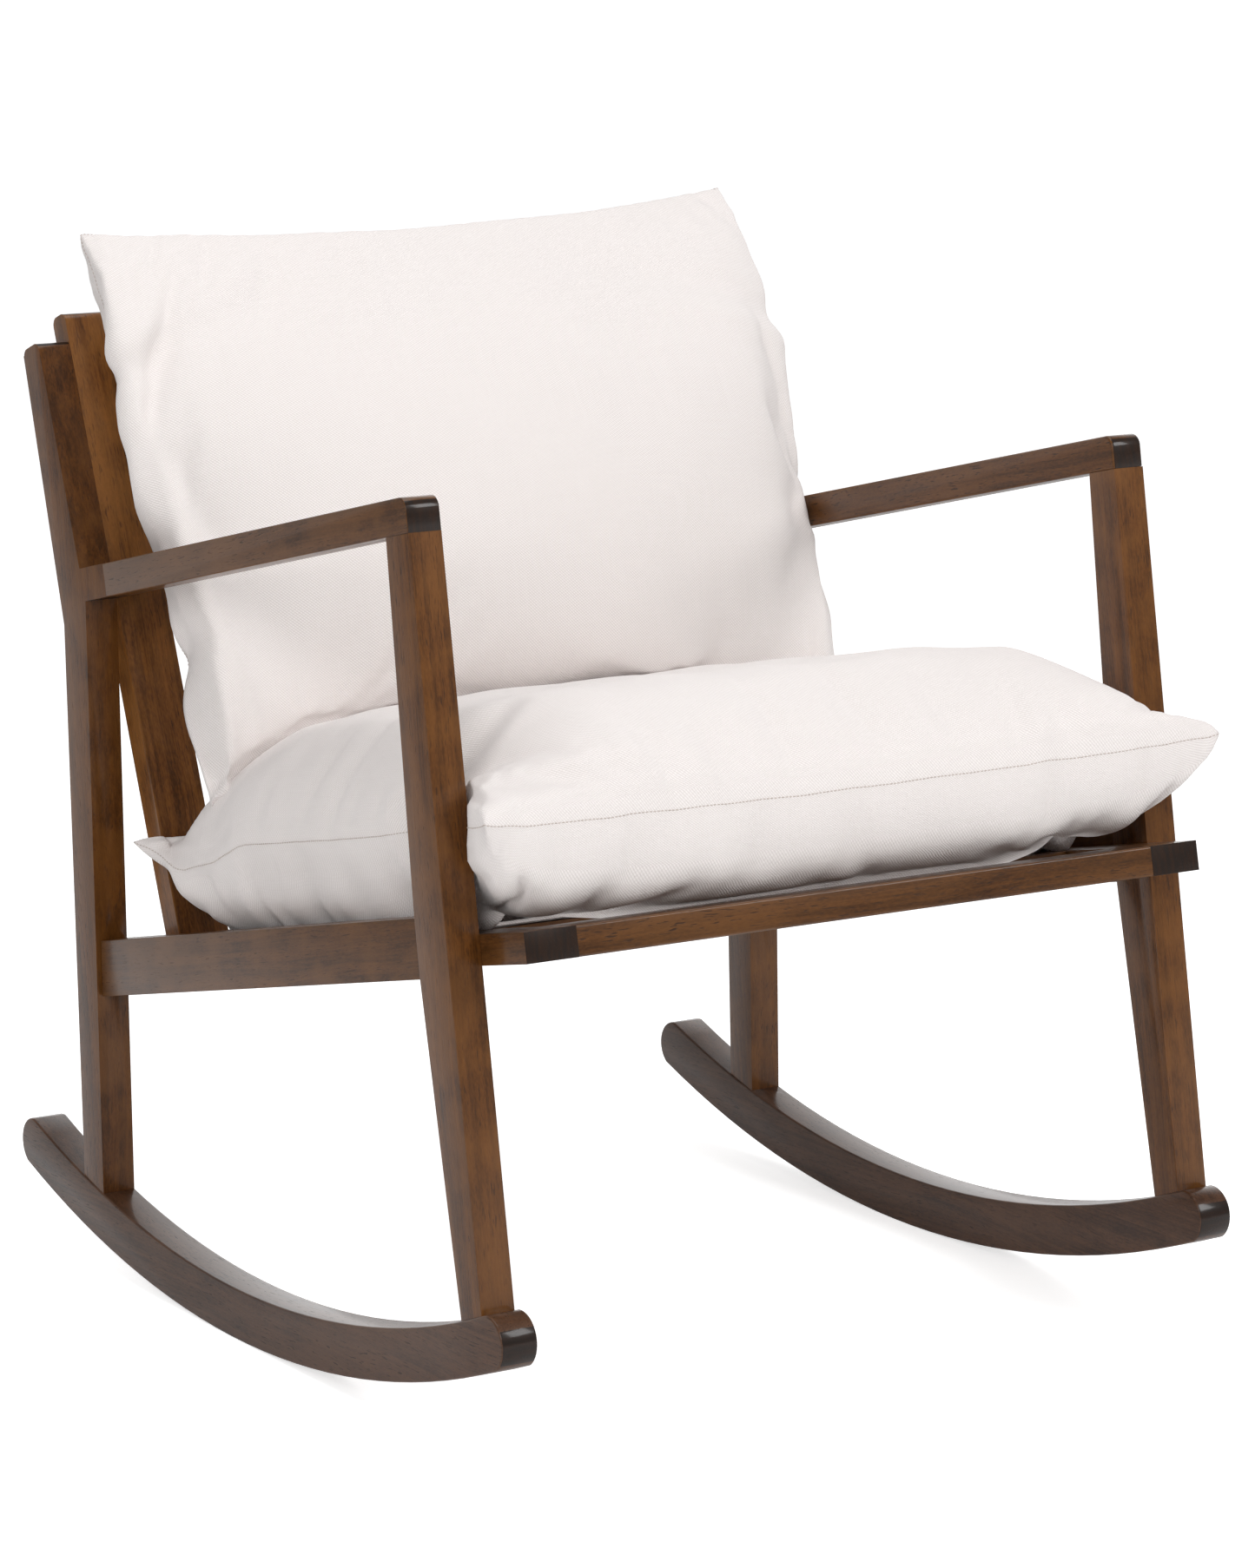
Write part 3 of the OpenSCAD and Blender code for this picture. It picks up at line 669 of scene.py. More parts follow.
def build_weave():
    """The height, the shade and the slubs of a small diagonal weave, from cloth metres."""
    tree, enter, leave = group_tree(
        "diagonal weave",
        [("Cloth", "NodeSocketVector", None), ("Thread", "NodeSocketFloat", 0.0012)],
        [("Height", "NodeSocketFloat"), ("Shade", "NodeSocketFloat"), ("Slub", "NodeSocketFloat")],
    )
    split = tree.nodes.new("ShaderNodeSeparateXYZ")
    wire(tree, enter.outputs["Cloth"], split.inputs[0])
    across = arithmetic(tree, "DIVIDE", split.outputs["X"], enter.outputs["Thread"])
    along = arithmetic(tree, "DIVIDE", split.outputs["Y"], enter.outputs["Thread"])
    diagonal = arithmetic(tree, "MULTIPLY", arithmetic(tree, "ADD", across, along), math.pi)
    floats = arithmetic(tree, "MULTIPLY_ADD", across, -0.5, along)
    floats = arithmetic(tree, "MULTIPLY", floats, math.pi)
    ridge = arithmetic(tree, "MULTIPLY_ADD", arithmetic(tree, "SINE", diagonal), 0.5, 0.5)
    broken = arithmetic(tree, "MULTIPLY_ADD", arithmetic(tree, "SINE", floats), 0.5, 0.5)
    broken = arithmetic(tree, "MULTIPLY_ADD", broken, 0.6, 0.4)
    height = arithmetic(tree, "MULTIPLY", ridge, broken)
    weft = noise(tree, stretched(tree, enter.outputs["Cloth"], WEFT_WAVES), 1.0)
    warp = noise(tree, stretched(tree, enter.outputs["Cloth"], WARP_WAVES), 1.0)
    slub = arithmetic(tree, "MULTIPLY", arithmetic(tree, "ADD", weft, warp), 0.5)
    wire(tree, arithmetic(tree, "MULTIPLY_ADD", slub, 0.5, height), leave.inputs["Height"])
    wire(tree, height, leave.inputs["Shade"])
    wire(tree, slub, leave.inputs["Slub"])
    return tree


weave = build_weave()


def woven_cloth(name, bright, shaded):
    """Off-white woven cotton, bright on top of the threads and shaded between them."""
    made, shader = new_material(name)
    tree = made.node_tree
    place = tree.nodes.new("ShaderNodeUVMap")
    place.uv_map = "cloth"
    group = tree.nodes.new("ShaderNodeGroup")
    group.node_tree = weave
    wire(tree, place.outputs["UV"], group.inputs["Cloth"])
    color = mixed(tree, ramped(tree, group.outputs["Shade"], 0.0, 0.7), (*shaded, 1), (*bright, 1))
    soiled = ramped(tree, group.outputs["Slub"], 0.35, 0.65, 0.0, 0.35)
    color = mixed(tree, soiled, color, tuple(v * SOILED for v in bright) + (1,))
    wire(tree, color, shader.inputs["Base Color"])
    bumped(tree, group.outputs["Height"], shader, strength=0.5, distance=0.5 * MM)
    set_inputs(shader, Roughness=0.92, Sheen_Weight=0.15, Sheen_Roughness=0.6)
    return made


COVER_CLOTH = woven_cloth(
    "off-white cotton", bright=(0.90, 0.85, 0.832), shaded=(0.73, 0.675, 0.655)
)
print("cloth", COVER_CLOTH.name)

# %% [markdown]
# ## The cushions
#
# Each cushion is two flat panels of cloth sewn together round the edge and stuffed with loose
# fibre. The edge stays thin and lies at mid height, the middle swells, the sides pull in between
# the corners and the corners stay as pointed ears. A box with round edges would never look like
# that, so the case is drawn as two sheets that share a seam, a little slack, and the stuffing is
# a cloth simulation with pressure inside. The legs, rails and slats are obstacles, so the cushion
# lies flat on its slats and is pinched by the legs, as the real one is.
#
# First come the two planes that the cushions rest on. Each is taken from a board of the frame.

# %% The planes of the seat and the back
def face_of(node, towards_rear_or_up, outwards):
    """A board's face: a point on it, the direction along the board and the direction out."""
    middle, (along, across, out) = board_axes(NODES[node].data)
    along = along * np.sign(along @ np.array(towards_rear_or_up))
    out = out * np.sign(out @ np.array(outwards))
    points = np.array([v.co for v in NODES[node].data.vertices]) - middle
    start = middle + (points @ out).max() * out + (points @ along).min() * along
    start[0] = 0.0
    return start, along, out


SEAT_EDGE, SEAT_BACKWARDS, SEAT_UP = face_of("left_seat_member", (0, 1, 0), (0, 0, 1))
back_start, BACK_UPWARDS, BACK_FORWARDS = face_of("left_back_stile", (0, 0, 1), (0, -1, 0))
below_seat = (SEAT_EDGE - back_start) @ SEAT_UP / (BACK_UPWARDS @ SEAT_UP)
BACK_FOOT = back_start + below_seat * BACK_UPWARDS
ACROSS = np.array([1.0, 0.0, 0.0])
SEAT_DEPTH = (BACK_FOOT - SEAT_EDGE) @ SEAT_BACKWARDS
print("seat depth", round(SEAT_DEPTH, 4), "back foot", BACK_FOOT.round(4))


def on_seat(x, back, up):
    """A point measured from the middle of the seat frame's front edge."""
    return SEAT_EDGE + x * ACROSS + back * SEAT_BACKWARDS + up * SEAT_UP


def on_back(x, up, forward):
    """A point measured from where the seat and the back meet."""
    return BACK_FOOT + x * ACROSS + up * BACK_UPWARDS + forward * BACK_FORWARDS


# %% [markdown]
# A case is a grid of points on two sheets, u across and v along, each from -1 to 1. The grid is
# closer near the seam, where the cloth turns sharply. The UV map is measured on the sheets
# themselves, row by row, so it stays true where the cloth is steep.

# %% Sew a case from two sheets
EVEN_SHARE = 0.55
CROWDED_SHARE = 0.45
SHEETS_APART = 3.0


def seam_spacing(count):
    """Values from -1 to 1 that lie closer together near both ends."""
    even = np.linspace(-1, 1, count + 1)
    return EVEN_SHARE * even + CROWDED_SHARE * np.sin(even * math.pi / 2)


def running_length(points, axis):
    """The distance along a grid's rows or columns, measured from its middle."""
    steps = np.linalg.norm(np.diff(points, axis=axis), axis=2)
    total = np.insert(np.cumsum(steps, axis=axis), 0, 0.0, axis=axis)
    middle = np.take(total, [total.shape[axis] // 2], axis=axis)
    return total - middle


def sew_case(name, columns, rows, place):
    """A closed case; place(u, v, side) gives a point, where side is 1 above and -1 below.

    Gives the case, its seam's points in order, and each sheet's point numbers and cloth metres.
    """
    us, vs = seam_spacing(columns), seam_spacing(rows)
    points, sheets = [], {}
    for side in (1, -1):
        numbers = np.zeros((columns + 1, rows + 1), int)
        sheet = np.array([[place(u, v, side) for v in vs] for u in us])
        for i in range(columns + 1):
            for j in range(rows + 1):
                if side == -1 and (i in (0, columns) or j in (0, rows)):
                    numbers[i, j] = sheets[1][0][i, j]
                else:
                    numbers[i, j] = len(points)
                    points.append(sheet[i, j])
        lengths = np.stack([running_length(sheet, 0), running_length(sheet, 1)], 2)
        sheets[side] = (numbers, lengths)
    faces, cloth = [], []
    for side, (numbers, lengths) in sheets.items():
        for i in range(columns):
            for j in range(rows):
                ring = [(i, j), (i + 1, j), (i + 1, j + 1), (i, j + 1)][::side]
                faces.append([int(numbers[c]) for c in ring])
                cloth += [lengths[c] * (side, 1) + (SHEETS_APART * side, 0) for c in ring]
    data = bpy.data.meshes.new(name)
    data.from_pydata([Vector(p) for p in points], [], faces)
    data.uv_layers.new(name="cloth").data.foreach_set("uv", np.array(cloth, np.float32).ravel())
    for face in data.polygons:
        face.use_smooth = True
    case = bpy.data.objects.new(name, data)
    bpy.context.scene.collection.objects.link(case)
    ring = [(i, 0) for i in range(columns)] + [(columns, j) for j in range(rows)]
    ring += [(i, rows) for i in range(columns, 0, -1)] + [(0, j) for j in range(rows, 0, -1)]
    return case, [int(sheets[1][0][c]) for c in ring], sheets


# %% Stuff a case by cloth simulation
STUFFING_FRAMES = 20
CORNER_REACH = 0.02
SEAM_FIRMNESS = 0.8
PRESSURE = 45.0
FURTHEST = 0.024


def obstacle(nodes, others=()):
    """One object that the cloth can't pass through, made of CAD nodes and pieces."""
    points, faces = [], []
    for mesh in [NODES[n].data for n in nodes] + [o.data for o in others]:
        start = len(points)
        points += [v.co.copy() for v in mesh.vertices]
        faces += [[start + i for i in p.vertices] for p in mesh.polygons]
    data = bpy.data.meshes.new("obstacle")
    data.from_pydata(points, [], faces)
    made = bpy.data.objects.new("obstacle", data)
    bpy.context.scene.collection.objects.link(made)
    made.modifiers.new("collision", "COLLISION")
    made.collision.thickness_outer = 1.0 * MM
    made.collision.thickness_inner = 20.0 * MM
    return made


def seam_corners(points):
    """The four of the seam's points, given by number, that lie furthest out to its corners."""
    middle = sum(points.values(), Vector()) / len(points)
    corners = []
    for way in ((-0.9, -1, 0), (-0.9, 1, 0), (0.9, -1, 0), (0.9, 1, 0)):
        outwards = Vector(way)
        corners.append(max(points, key=lambda n: (points[n] - middle).dot(outwards)))
    return corners


def hold_seam(case, seam):
    """Weights that hold the four corners, and less firmly the seam, and gather the cloth there."""
    points = {n: case.data.vertices[n].co for n in seam}
    corners = seam_corners(points)
    firmness = case.vertex_groups.new(name="held")
    for n in seam:
        near = min((points[n] - points[c]).length for c in corners)
        firmness.add([n], 1.0 if near < CORNER_REACH else SEAM_FIRMNESS, "REPLACE")
    gathered = case.vertex_groups.new(name="gathered")
    gathered.add(seam, 1.0, "REPLACE")


def cloth_with_pressure(case, pressure, slack):
    """A cloth modifier for a stuffed case of stout cotton."""
    cloth = case.modifiers.new("cloth", "CLOTH")
    rules = cloth.settings
    rules.quality = 7
    rules.mass = 0.15
    rules.tension_stiffness = 25
    rules.compression_stiffness = 10
    rules.shear_stiffness = 6
    rules.bending_stiffness = 0.1
    rules.tension_damping = 12
    rules.compression_damping = 12
    rules.air_damping = 3
    rules.use_pressure = True
    rules.uniform_pressure_force = pressure
    rules.vertex_group_mass = "held"
    rules.pin_stiffness = 5.0
    rules.vertex_group_shrink = "gathered"
    rules.shrink_min = -slack
    rules.shrink_max = 0.02
    rules.effector_weights.gravity = 0.0
    cloth.collision_settings.distance_min = 2.0 * MM
    cloth.collision_settings.collision_quality = 3
    cloth.collision_settings.use_self_collision = False
    cloth.point_cache.frame_start = 1
    cloth.point_cache.frame_end = STUFFING_FRAMES


def stuff(case, seam, blocked_by, pressure, slack, most):
    """Swells the case round its stuffing; no point moves further than most."""
    hold_seam(case, seam)
    start = np.array([v.co for v in case.data.vertices])
    cloth_with_pressure(case, pressure, slack)
    scene = bpy.context.scene
    for number in range(1, STUFFING_FRAMES + 1):
        scene.frame_set(number)
    apply_modifiers(case)
    scene.frame_set(1)
    bpy.data.objects.remove(blocked_by)
    moved = np.array([v.co for v in case.data.vertices]) - start
    far = np.linalg.norm(moved, axis=1)
    print(case.name, "moved at most", round(far.max(), 4), "m, mostly", round(far.mean(), 4))
    kept = start + moved * np.minimum(1.0, most / np.maximum(far, 1e-9))[:, None]
    case.data.vertices.foreach_set("co", kept.astype(np.float32).ravel())
    case.vertex_groups.clear()
    return case


def swollen(u, v, full_u, full_v):
    """The rise of a stuffed sheet, 0 at the seam and 1 in the middle; fuller is boxier."""
    return math.sqrt((1 - abs(u) ** full_u) * (1 - abs(v) ** full_v))


def lumps(point, size, height):
    """The unevenness of loose fibre: a smooth random height of about the given size."""
    return height * Noise.noise(Vector(point) / size)


def bump_at(distance, reach):
    """A smooth bump of height 1 that dies out within about twice its reach."""
    return math.exp(-((distance / reach) ** 2))


# %% [markdown]
# ### The seat cushion
#
# It is as wide as the chair: its front corners stand out ahead of the front legs, the legs pinch
# it just behind them, and its sides bulge over the side rails. Its underside is flat where it
# lies on the slats. Near its two rear corners it is dented, because the lower corners of the back
# cushion press on it there.

# %% Cut and stuff the seat cushion
SEAT_SEAM_UP = 0.080
SEAT_RISE = 0.068
SEAT_FALL = 0.100
SEAT_REST = 0.003
SEAT_HALF = 0.322
SEAT_FLARE = 0.011
SEAT_FRONT_INSET = 0.004
SEAT_FRONT_EARS = 0.0155
SEAT_REAR_GAP = 0.003
SEAT_REAR_EARS = 0.012
REAR_EAR_RISE = 0.009
FRONT_SAG = 0.003
FLAT_UNDER_FRONT = 16.0
LEG_PINCH = 0.078
PINCH_DEPTH = 0.027
PINCH_REACH = 0.036
DENT_ASIDE = 0.285
DENT_BACK = 0.475
DENT_DEPTH = 0.034
DENT_REACH = 0.052
SEAT_LUMP = 0.055
LUMP_HEIGHT = 0.004


def seat_case_point(u, v, side):
    """A point of the seat cushion's case before it is stuffed."""
    share = (v + 1) / 2
    front = SEAT_FRONT_INSET - SEAT_FRONT_EARS * abs(u) ** 3
    rear = SEAT_DEPTH + SEAT_REAR_GAP + SEAT_REAR_EARS * abs(u) ** 6
    back = front + share * (rear - front)
    half = SEAT_HALF + SEAT_FLARE * abs(v) ** 6
    half -= PINCH_DEPTH * bump_at(back - LEG_PINCH, PINCH_REACH)
    seam = SEAT_SEAM_UP
    if v > 0:
        seam += REAR_EAR_RISE * abs(u * v) ** 4
    else:
        seam -= FRONT_SAG * (1 - abs(u)) * (v < 0)
    if side > 0:
        rise = SEAT_RISE * swollen(u, v, 5.2, 5.0)
        aside = (abs(u * half) - DENT_ASIDE) ** 2 + (back - DENT_BACK) ** 2
        rise -= DENT_DEPTH * math.exp(-aside / DENT_REACH**2)
    else:
        rise = -SEAT_FALL * swollen(u, v, 6.0, FLAT_UNDER_FRONT if v < 0 else 5.0)
    start = on_seat(u * half, back, max(seam + rise, SEAT_REST))
    loose = swollen(u, v, 4.0, 4.0)
    return start + loose * lumps(start, SEAT_LUMP, LUMP_HEIGHT) * side * SEAT_UP


seat_cushion, seat_seam, seat_sheets = sew_case("seat_cushion_cover", 72, 62, seat_case_point)
round_seat = ("front_leg", "side_rail", "seat_member", "front_rail", "back_stile")
seat_blocks = obstacle(
    [n for n in WOODEN if n.endswith(round_seat) or n.startswith("seat_slat")]
)
stuff(seat_cushion, seat_seam, seat_blocks, PRESSURE, slack=0.05, most=FURTHEST)

# %% [markdown]
# ### The back cushion
#
# It leans on the back and stands on the seat cushion. Its upper corners are drawn out to points
# above the stiles, its lower corners hang down beside the seat cushion's crown, and its lower
# seam rides up over that crown in the middle.

# %% Cut and stuff the back cushion
BACK_SEAM_OUT = 0.062
BACK_SWELL_FRONT = 0.074
BACK_SWELL_REAR = 0.078
BACK_REST = 0.003
BACK_TOP = 0.562
TOP_EARS = 0.014
TOP_LEAN = 0.005
BACK_LOW = 0.132
LOW_EARS = 0.048
WAIST = 0.21
ABOVE_WAIST = 0.366
BELOW_WAIST = 0.126
BACK_HALF = 0.290
UPPER_FLARE = 0.018
LOWER_FLARE = 0.007
BACK_TIES = (0.227, 0.390)
TIE_DEPTH = 0.005
TIE_REACH = 0.014
LOW_EAR_FORWARD = 0.009
TOP_EAR_BACK = 0.004
WALL_SHARE = 0.14
WALL_BULGE = 0.012
BACK_SHIFT = 0.004
BACK_LUMP = 0.07


def back_case_point(u, v, side):
    """A point of the back cushion's case before it is stuffed."""
    top = BACK_TOP + TOP_EARS * abs(u) ** 2.2 + TOP_LEAN * u
    foot = BACK_LOW - LOW_EARS * abs(u) ** 3
    up = foot + (v + 1) / 2 * (top - foot)
    above = max(up - WAIST, 0.0) / ABOVE_WAIST
    below = max(WAIST - up, 0.0) / BELOW_WAIST
    half = BACK_HALF + UPPER_FLARE * above**2.2 + LOWER_FLARE * below**2
    for tied in BACK_TIES:
        half -= TIE_DEPTH * bump_at(up - tied, TIE_REACH) * abs(u)
    seam = BACK_SEAM_OUT
    if v < 0:
        seam += LOW_EAR_FORWARD * abs(u) ** 3 * v * v
    else:
        seam -= TOP_EAR_BACK * abs(u * v) ** 3
    thick = (1 - max((v + 0.5) / 1.5, 0.0) ** 2.2) * swollen(0, min(v, 0.0), 1.0, 6.0)
    shift = BACK_SHIFT * (1 - v) / 2
    if side > 0:
        wall = max(WALL_SHARE * thick, 0.001)
        down = max((abs(u) - 1 + wall) / wall, 0.0)
        across = math.copysign(min(abs(u) / (1 - wall), 1.0), u) * half
        across += math.copysign(WALL_BULGE * thick * math.sin(math.pi * down), u)
        rise = BACK_SWELL_FRONT * thick * math.cos(down * math.pi / 2) ** 0.8
    else:
        across = u * half
        rise = -BACK_SWELL_REAR * swollen(u, v, 3.5, 4.0)
    start = on_back(across + shift, up, max(seam + rise, BACK_REST))
    loose = swollen(u, v, 4.0, 4.0)
    return start + loose * lumps(start, BACK_LUMP, LUMP_HEIGHT) * side * BACK_FORWARDS


back_cushion, back_seam, back_sheets = sew_case("back_cushion_cover", 68, 54, back_case_point)
round_back = ("arm", "rear_leg", "back_stile")
back_blocks = obstacle(
    [n for n in WOODEN if n.endswith(round_back) or n.startswith("back_slat")],
    [seat_cushion],
)
stuff(back_cushion, back_seam, back_blocks, PRESSURE, slack=0.04, most=FURTHEST)


# %% [markdown]
# ### Folds, seam and cloth
#
# Cloth that is gathered by a seam folds away from it, and the folds die out within a hand's
# width. The simulation gives the broad ones. The finer ones are pressed in afterwards: each starts
# at a place on the seam, runs inwards over the cloth and fades. The stuffing's own lumps are a slow
# random height over the whole face. Last, the seam is drawn in to a fine groove.

# %% Press the folds
DEEP_FOLD = 0.0085
SHALLOW_FOLD = 0.0038
RIDGE_SHARE = 0.7
RIDGE_ASIDE = 1.7
FOLD_START = 0.06


def fold(sheet, edge, share, tilt, reach, width, depth, pressed):
    """Adds a fold that starts at a share of the way along an edge and runs inwards, tilted."""
    numbers, lengths = sheet
    columns, rows = numbers.shape
    row = int(round(share * (rows - 1)))
    column = int(round(share * (columns - 1)))
    start, inwards = {
        "left": (lengths[0, row], (1, 0)),
        "right": (lengths[-1, row], (-1, 0)),
        "front": (lengths[column, 0], (0, 1)),
        "rear": (lengths[column, -1], (0, -1)),
    }[edge]
    inwards = np.array(inwards, float)
    sideways = np.array((-inwards[1], inwards[0]))
    along_axis = inwards * math.cos(tilt) + sideways * math.sin(tilt)
    offset = lengths - start
    along = np.clip(offset @ along_axis / reach, 0, 1)
    away = np.linalg.norm(offset - (along * reach)[..., None] * along_axis, axis=2)
    wide = width * (0.6 + along)
    aside = (offset @ np.array((-along_axis[1], along_axis[0]))) / wide
    valley = np.exp(-(away / wide) ** 2)
    valley -= RIDGE_SHARE * np.exp(-(aside - RIDGE_ASIDE) ** 2) * (along < 1)
    fade = np.clip(along / FOLD_START, 0, 1) * (1 - along) ** 1.5
    np.add.at(pressed, numbers.ravel(), (depth * valley * fade).ravel())


def scatter_folds(sheet, edge, count, chance, pressed):
    """Small folds at random places along an edge, the same ones every time."""
    for number in range(count):
        share = (number + chance.uniform(0.2, 0.8)) / count
        tilt = chance.uniform(-0.5, 0.5)
        reach = chance.uniform(0.05, 0.13)
        width = chance.uniform(0.007, 0.014)
        depth = chance.uniform(0.3, 1.0) * SHALLOW_FOLD
        fold(sheet, edge, share, tilt, reach, width, depth, pressed)


def press(case, pressed, lump_size, lump_height):
    """Moves the cover in along its normals by the folds, and in or out by the stuffing's lumps."""
    for vertex, depth in zip(case.data.vertices, pressed):
        vertex.co -= vertex.normal * (depth + lumps(vertex.co, lump_size, lump_height))


# %% The seat cushion's folds
FOLD_SEED = 7
FOLD_WIDTH = 0.013

chance = random.Random(FOLD_SEED)
seat_pressed = np.zeros(len(seat_cushion.data.vertices))
for side in (1, -1):
    for edge, count in (("front", 9), ("left", 8), ("right", 8), ("rear", 7)):
        scatter_folds(seat_sheets[side], edge, count, chance, seat_pressed)
fold(seat_sheets[-1], "front", share=0.40, tilt=0.1, reach=0.09, width=FOLD_WIDTH,
     depth=DEEP_FOLD, pressed=seat_pressed)
fold(seat_sheets[1], "front", share=0.30, tilt=0.0, reach=0.13, width=FOLD_WIDTH,
     depth=DEEP_FOLD, pressed=seat_pressed)
fold(seat_sheets[1], "front", share=0.74, tilt=-0.2, reach=0.12, width=0.012,
     depth=DEEP_FOLD * 0.8, pressed=seat_pressed)
press(seat_cushion, seat_pressed, lump_size=0.09, lump_height=0.003)
print("deepest fold in the seat cushion", round(seat_pressed.max(), 4), "m")

# %% The back cushion's folds
BACK_FOLD_WIDTH = 0.016
BACK_FOLDS = ((0.30, 0.6, 0.14), (0.30, 0.1, 0.10), (0.68, 0.25, 0.30))

back_pressed = np.zeros(len(back_cushion.data.vertices))
for side in (1, -1):
    for edge, count in (("left", 8), ("right", 8), ("front", 8)):
        scatter_folds(back_sheets[side], edge, count, chance, back_pressed)
for edge, leaning in (("left", 1), ("right", -1)):
    for share, tilt, reach in BACK_FOLDS:
        fold(back_sheets[1], edge, share, tilt * leaning, reach, BACK_FOLD_WIDTH,
             DEEP_FOLD, back_pressed)
press(back_cushion, back_pressed, lump_size=0.11, lump_height=0.003)
print("deepest fold in the back cushion", round(back_pressed.max(), 4), "m")

# %% [markdown]
# The back cushion drops in from above, between the two arms. The arms leave it no room to be
# wider than the gap, so below their level its sides are kept just inside them.

# %% Keep the back cushion between the arms
ARM_CLEARANCE = 0.0015
ARM_BLEND = 0.05

arm_points = np.array([v.co for v in NODES["left_arm"].data.vertices])
arm_gap = arm_points[:, 0].min() - ARM_CLEARANCE
arm_level = arm_points[:, 2].min()
for vertex in back_cushion.data.vertices:
    over = abs(vertex.co.x) - arm_gap
    share = min(max(1 - (vertex.co.z - arm_level) / ARM_BLEND, 0.0), 1.0)
    if over > 0:
        vertex.co.x -= math.copysign(over * share, vertex.co.x)
print("gap between the arms", round(2 * arm_gap, 4), "m")


# %% Finish the covers
SEAM_GROOVE = 0.0034


def finish_cover(case, seam, body, node):
    """Draws the seam in to a fine groove, smooths the cloth and gives it its material."""
    for n in seam:
        case.data.vertices[n].co -= SEAM_GROOVE * case.data.vertices[n].normal
    smooth = case.modifiers.new("smooth cloth", "SUBSURF")
    smooth.levels = 1
    smooth.render_levels = 1
    smooth.uv_smooth = "NONE"
    apply_modifiers(case)
    case.data.materials.append(COVER_CLOTH)
    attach(case, body)
    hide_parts(node)
    print(case.name, len(case.data.polygons), "faces")


finish_cover(seat_cushion, seat_seam, "seat_cushion", "seat_cushion")
finish_cover(back_cushion, back_seam, "back_cushion", "back_cushion")

# %% [markdown]
# ### The stitches
#
# The two panels are closed with a row of short stitches that lies in the groove of the seam. One
# stitch is modelled, and Geometry Nodes sets it along the whole seam at an even pitch, as the
# machine does. The seam's line is read from the finished cover, so the row follows every pinch.

# %% Build the row of stitches once
def socket_of(tree, name):
    """The identifier of a modifier input, found by its name."""
    return next(i.identifier for i in tree.interface.items_tree
                if i.item_type == "SOCKET" and i.in_out == "INPUT" and i.name == name)


def geometry_tree(name, inputs):
    """A Geometry Nodes tree with a geometry in and out, and the named inputs."""
    tree = bpy.data.node_groups.new(name, "GeometryNodeTree")
    tree.interface.new_socket("Geometry", in_out="INPUT", socket_type="NodeSocketGeometry")
    for socket, kind in inputs:
        tree.interface.new_socket(socket, in_out="INPUT", socket_type=kind)
    tree.interface.new_socket("Geometry", in_out="OUTPUT", socket_type="NodeSocketGeometry")
    return tree, tree.nodes.new("NodeGroupInput"), tree.nodes.new("NodeGroupOutput")


def build_stitch_row():
    """Stitches of a thread's radius, set along a line at an even pitch and pulled out along it."""
    tree, enter, leave = geometry_tree("stitch row", [
        ("Pitch", "NodeSocketFloat"),
        ("Thread", "NodeSocketFloat"),
        ("Stitch", "NodeSocketFloat"),
        ("Material", "NodeSocketMaterial"),
    ])
    line = tree.nodes.new("GeometryNodeMeshToCurve")
    wire(tree, enter.outputs["Geometry"], line.inputs["Mesh"])
    even = tree.nodes.new("GeometryNodeResampleCurve")
    even.mode = "LENGTH"
    wire(tree, line.outputs["Curve"], even.inputs["Curve"])
    wire(tree, enter.outputs["Pitch"], even.inputs["Length"])
    ball = tree.nodes.new("GeometryNodeMeshUVSphere")
    set_inputs(ball, Segments=6, Rings=4)
    wire(tree, enter.outputs["Thread"], ball.inputs["Radius"])
    tangent = tree.nodes.new("GeometryNodeInputTangent")
    turn = tree.nodes.new("FunctionNodeAlignEulerToVector")
    turn.axis = "Z"
    wire(tree, tangent.outputs["Tangent"], turn.inputs["Vector"])
    size = tree.nodes.new("ShaderNodeCombineXYZ")
    size.inputs["X"].default_value = 1.0
    size.inputs["Y"].default_value = 1.0
    wire(tree, enter.outputs["Stitch"], size.inputs["Z"])
    place = tree.nodes.new("GeometryNodeInstanceOnPoints")
    wire(tree, even.outputs["Curve"], place.inputs["Points"])
    wire(tree, ball.outputs["Mesh"], place.inputs["Instance"])
    wire(tree, turn.outputs["Rotation"], place.inputs["Rotation"])
    wire(tree, size.outputs["Vector"], place.inputs["Scale"])
    real = tree.nodes.new("GeometryNodeRealizeInstances")
    wire(tree, place.outputs["Instances"], real.inputs["Geometry"])
    dye = tree.nodes.new("GeometryNodeSetMaterial")
    wire(tree, real.outputs["Geometry"], dye.inputs["Geometry"])
    wire(tree, enter.outputs["Material"], dye.inputs["Material"])
    wire(tree, dye.outputs["Geometry"], leave.inputs["Geometry"])
    return tree


def grown(name, start_mesh, tree, **values):
    """The plain mesh that a Geometry Nodes tree makes from a starting mesh."""
    carrier = bpy.data.objects.new(name, start_mesh)
    bpy.context.scene.collection.objects.link(carrier)
    made = carrier.modifiers.new(tree.name, "NODES")
    made.node_group = tree
    for key, value in values.items():
        made[socket_of(tree, key.replace("_", " "))] = value
    graph = bpy.context.evaluated_depsgraph_get()
    mesh = bpy.data.meshes.new_from_object(carrier.evaluated_get(graph))
    carrier.modifiers.clear()
    carrier.data = mesh
    for face in mesh.polygons:
        face.use_smooth = True
    return carrier


stitch_row = build_stitch_row()
print("tree", stitch_row.name, "with", len(stitch_row.nodes), "nodes")

# %% Sew both seams
THREAD = 0.00045
STITCH_PITCH = 0.0033
STITCH_STRETCH = 2.9
PROUD_SHARE = 0.4
SEWING_THREAD, thread_shader = new_material("sewing thread")
set_inputs(thread_shader, Base_Color=(0.55, 0.48, 0.44, 1), Roughness=0.8)


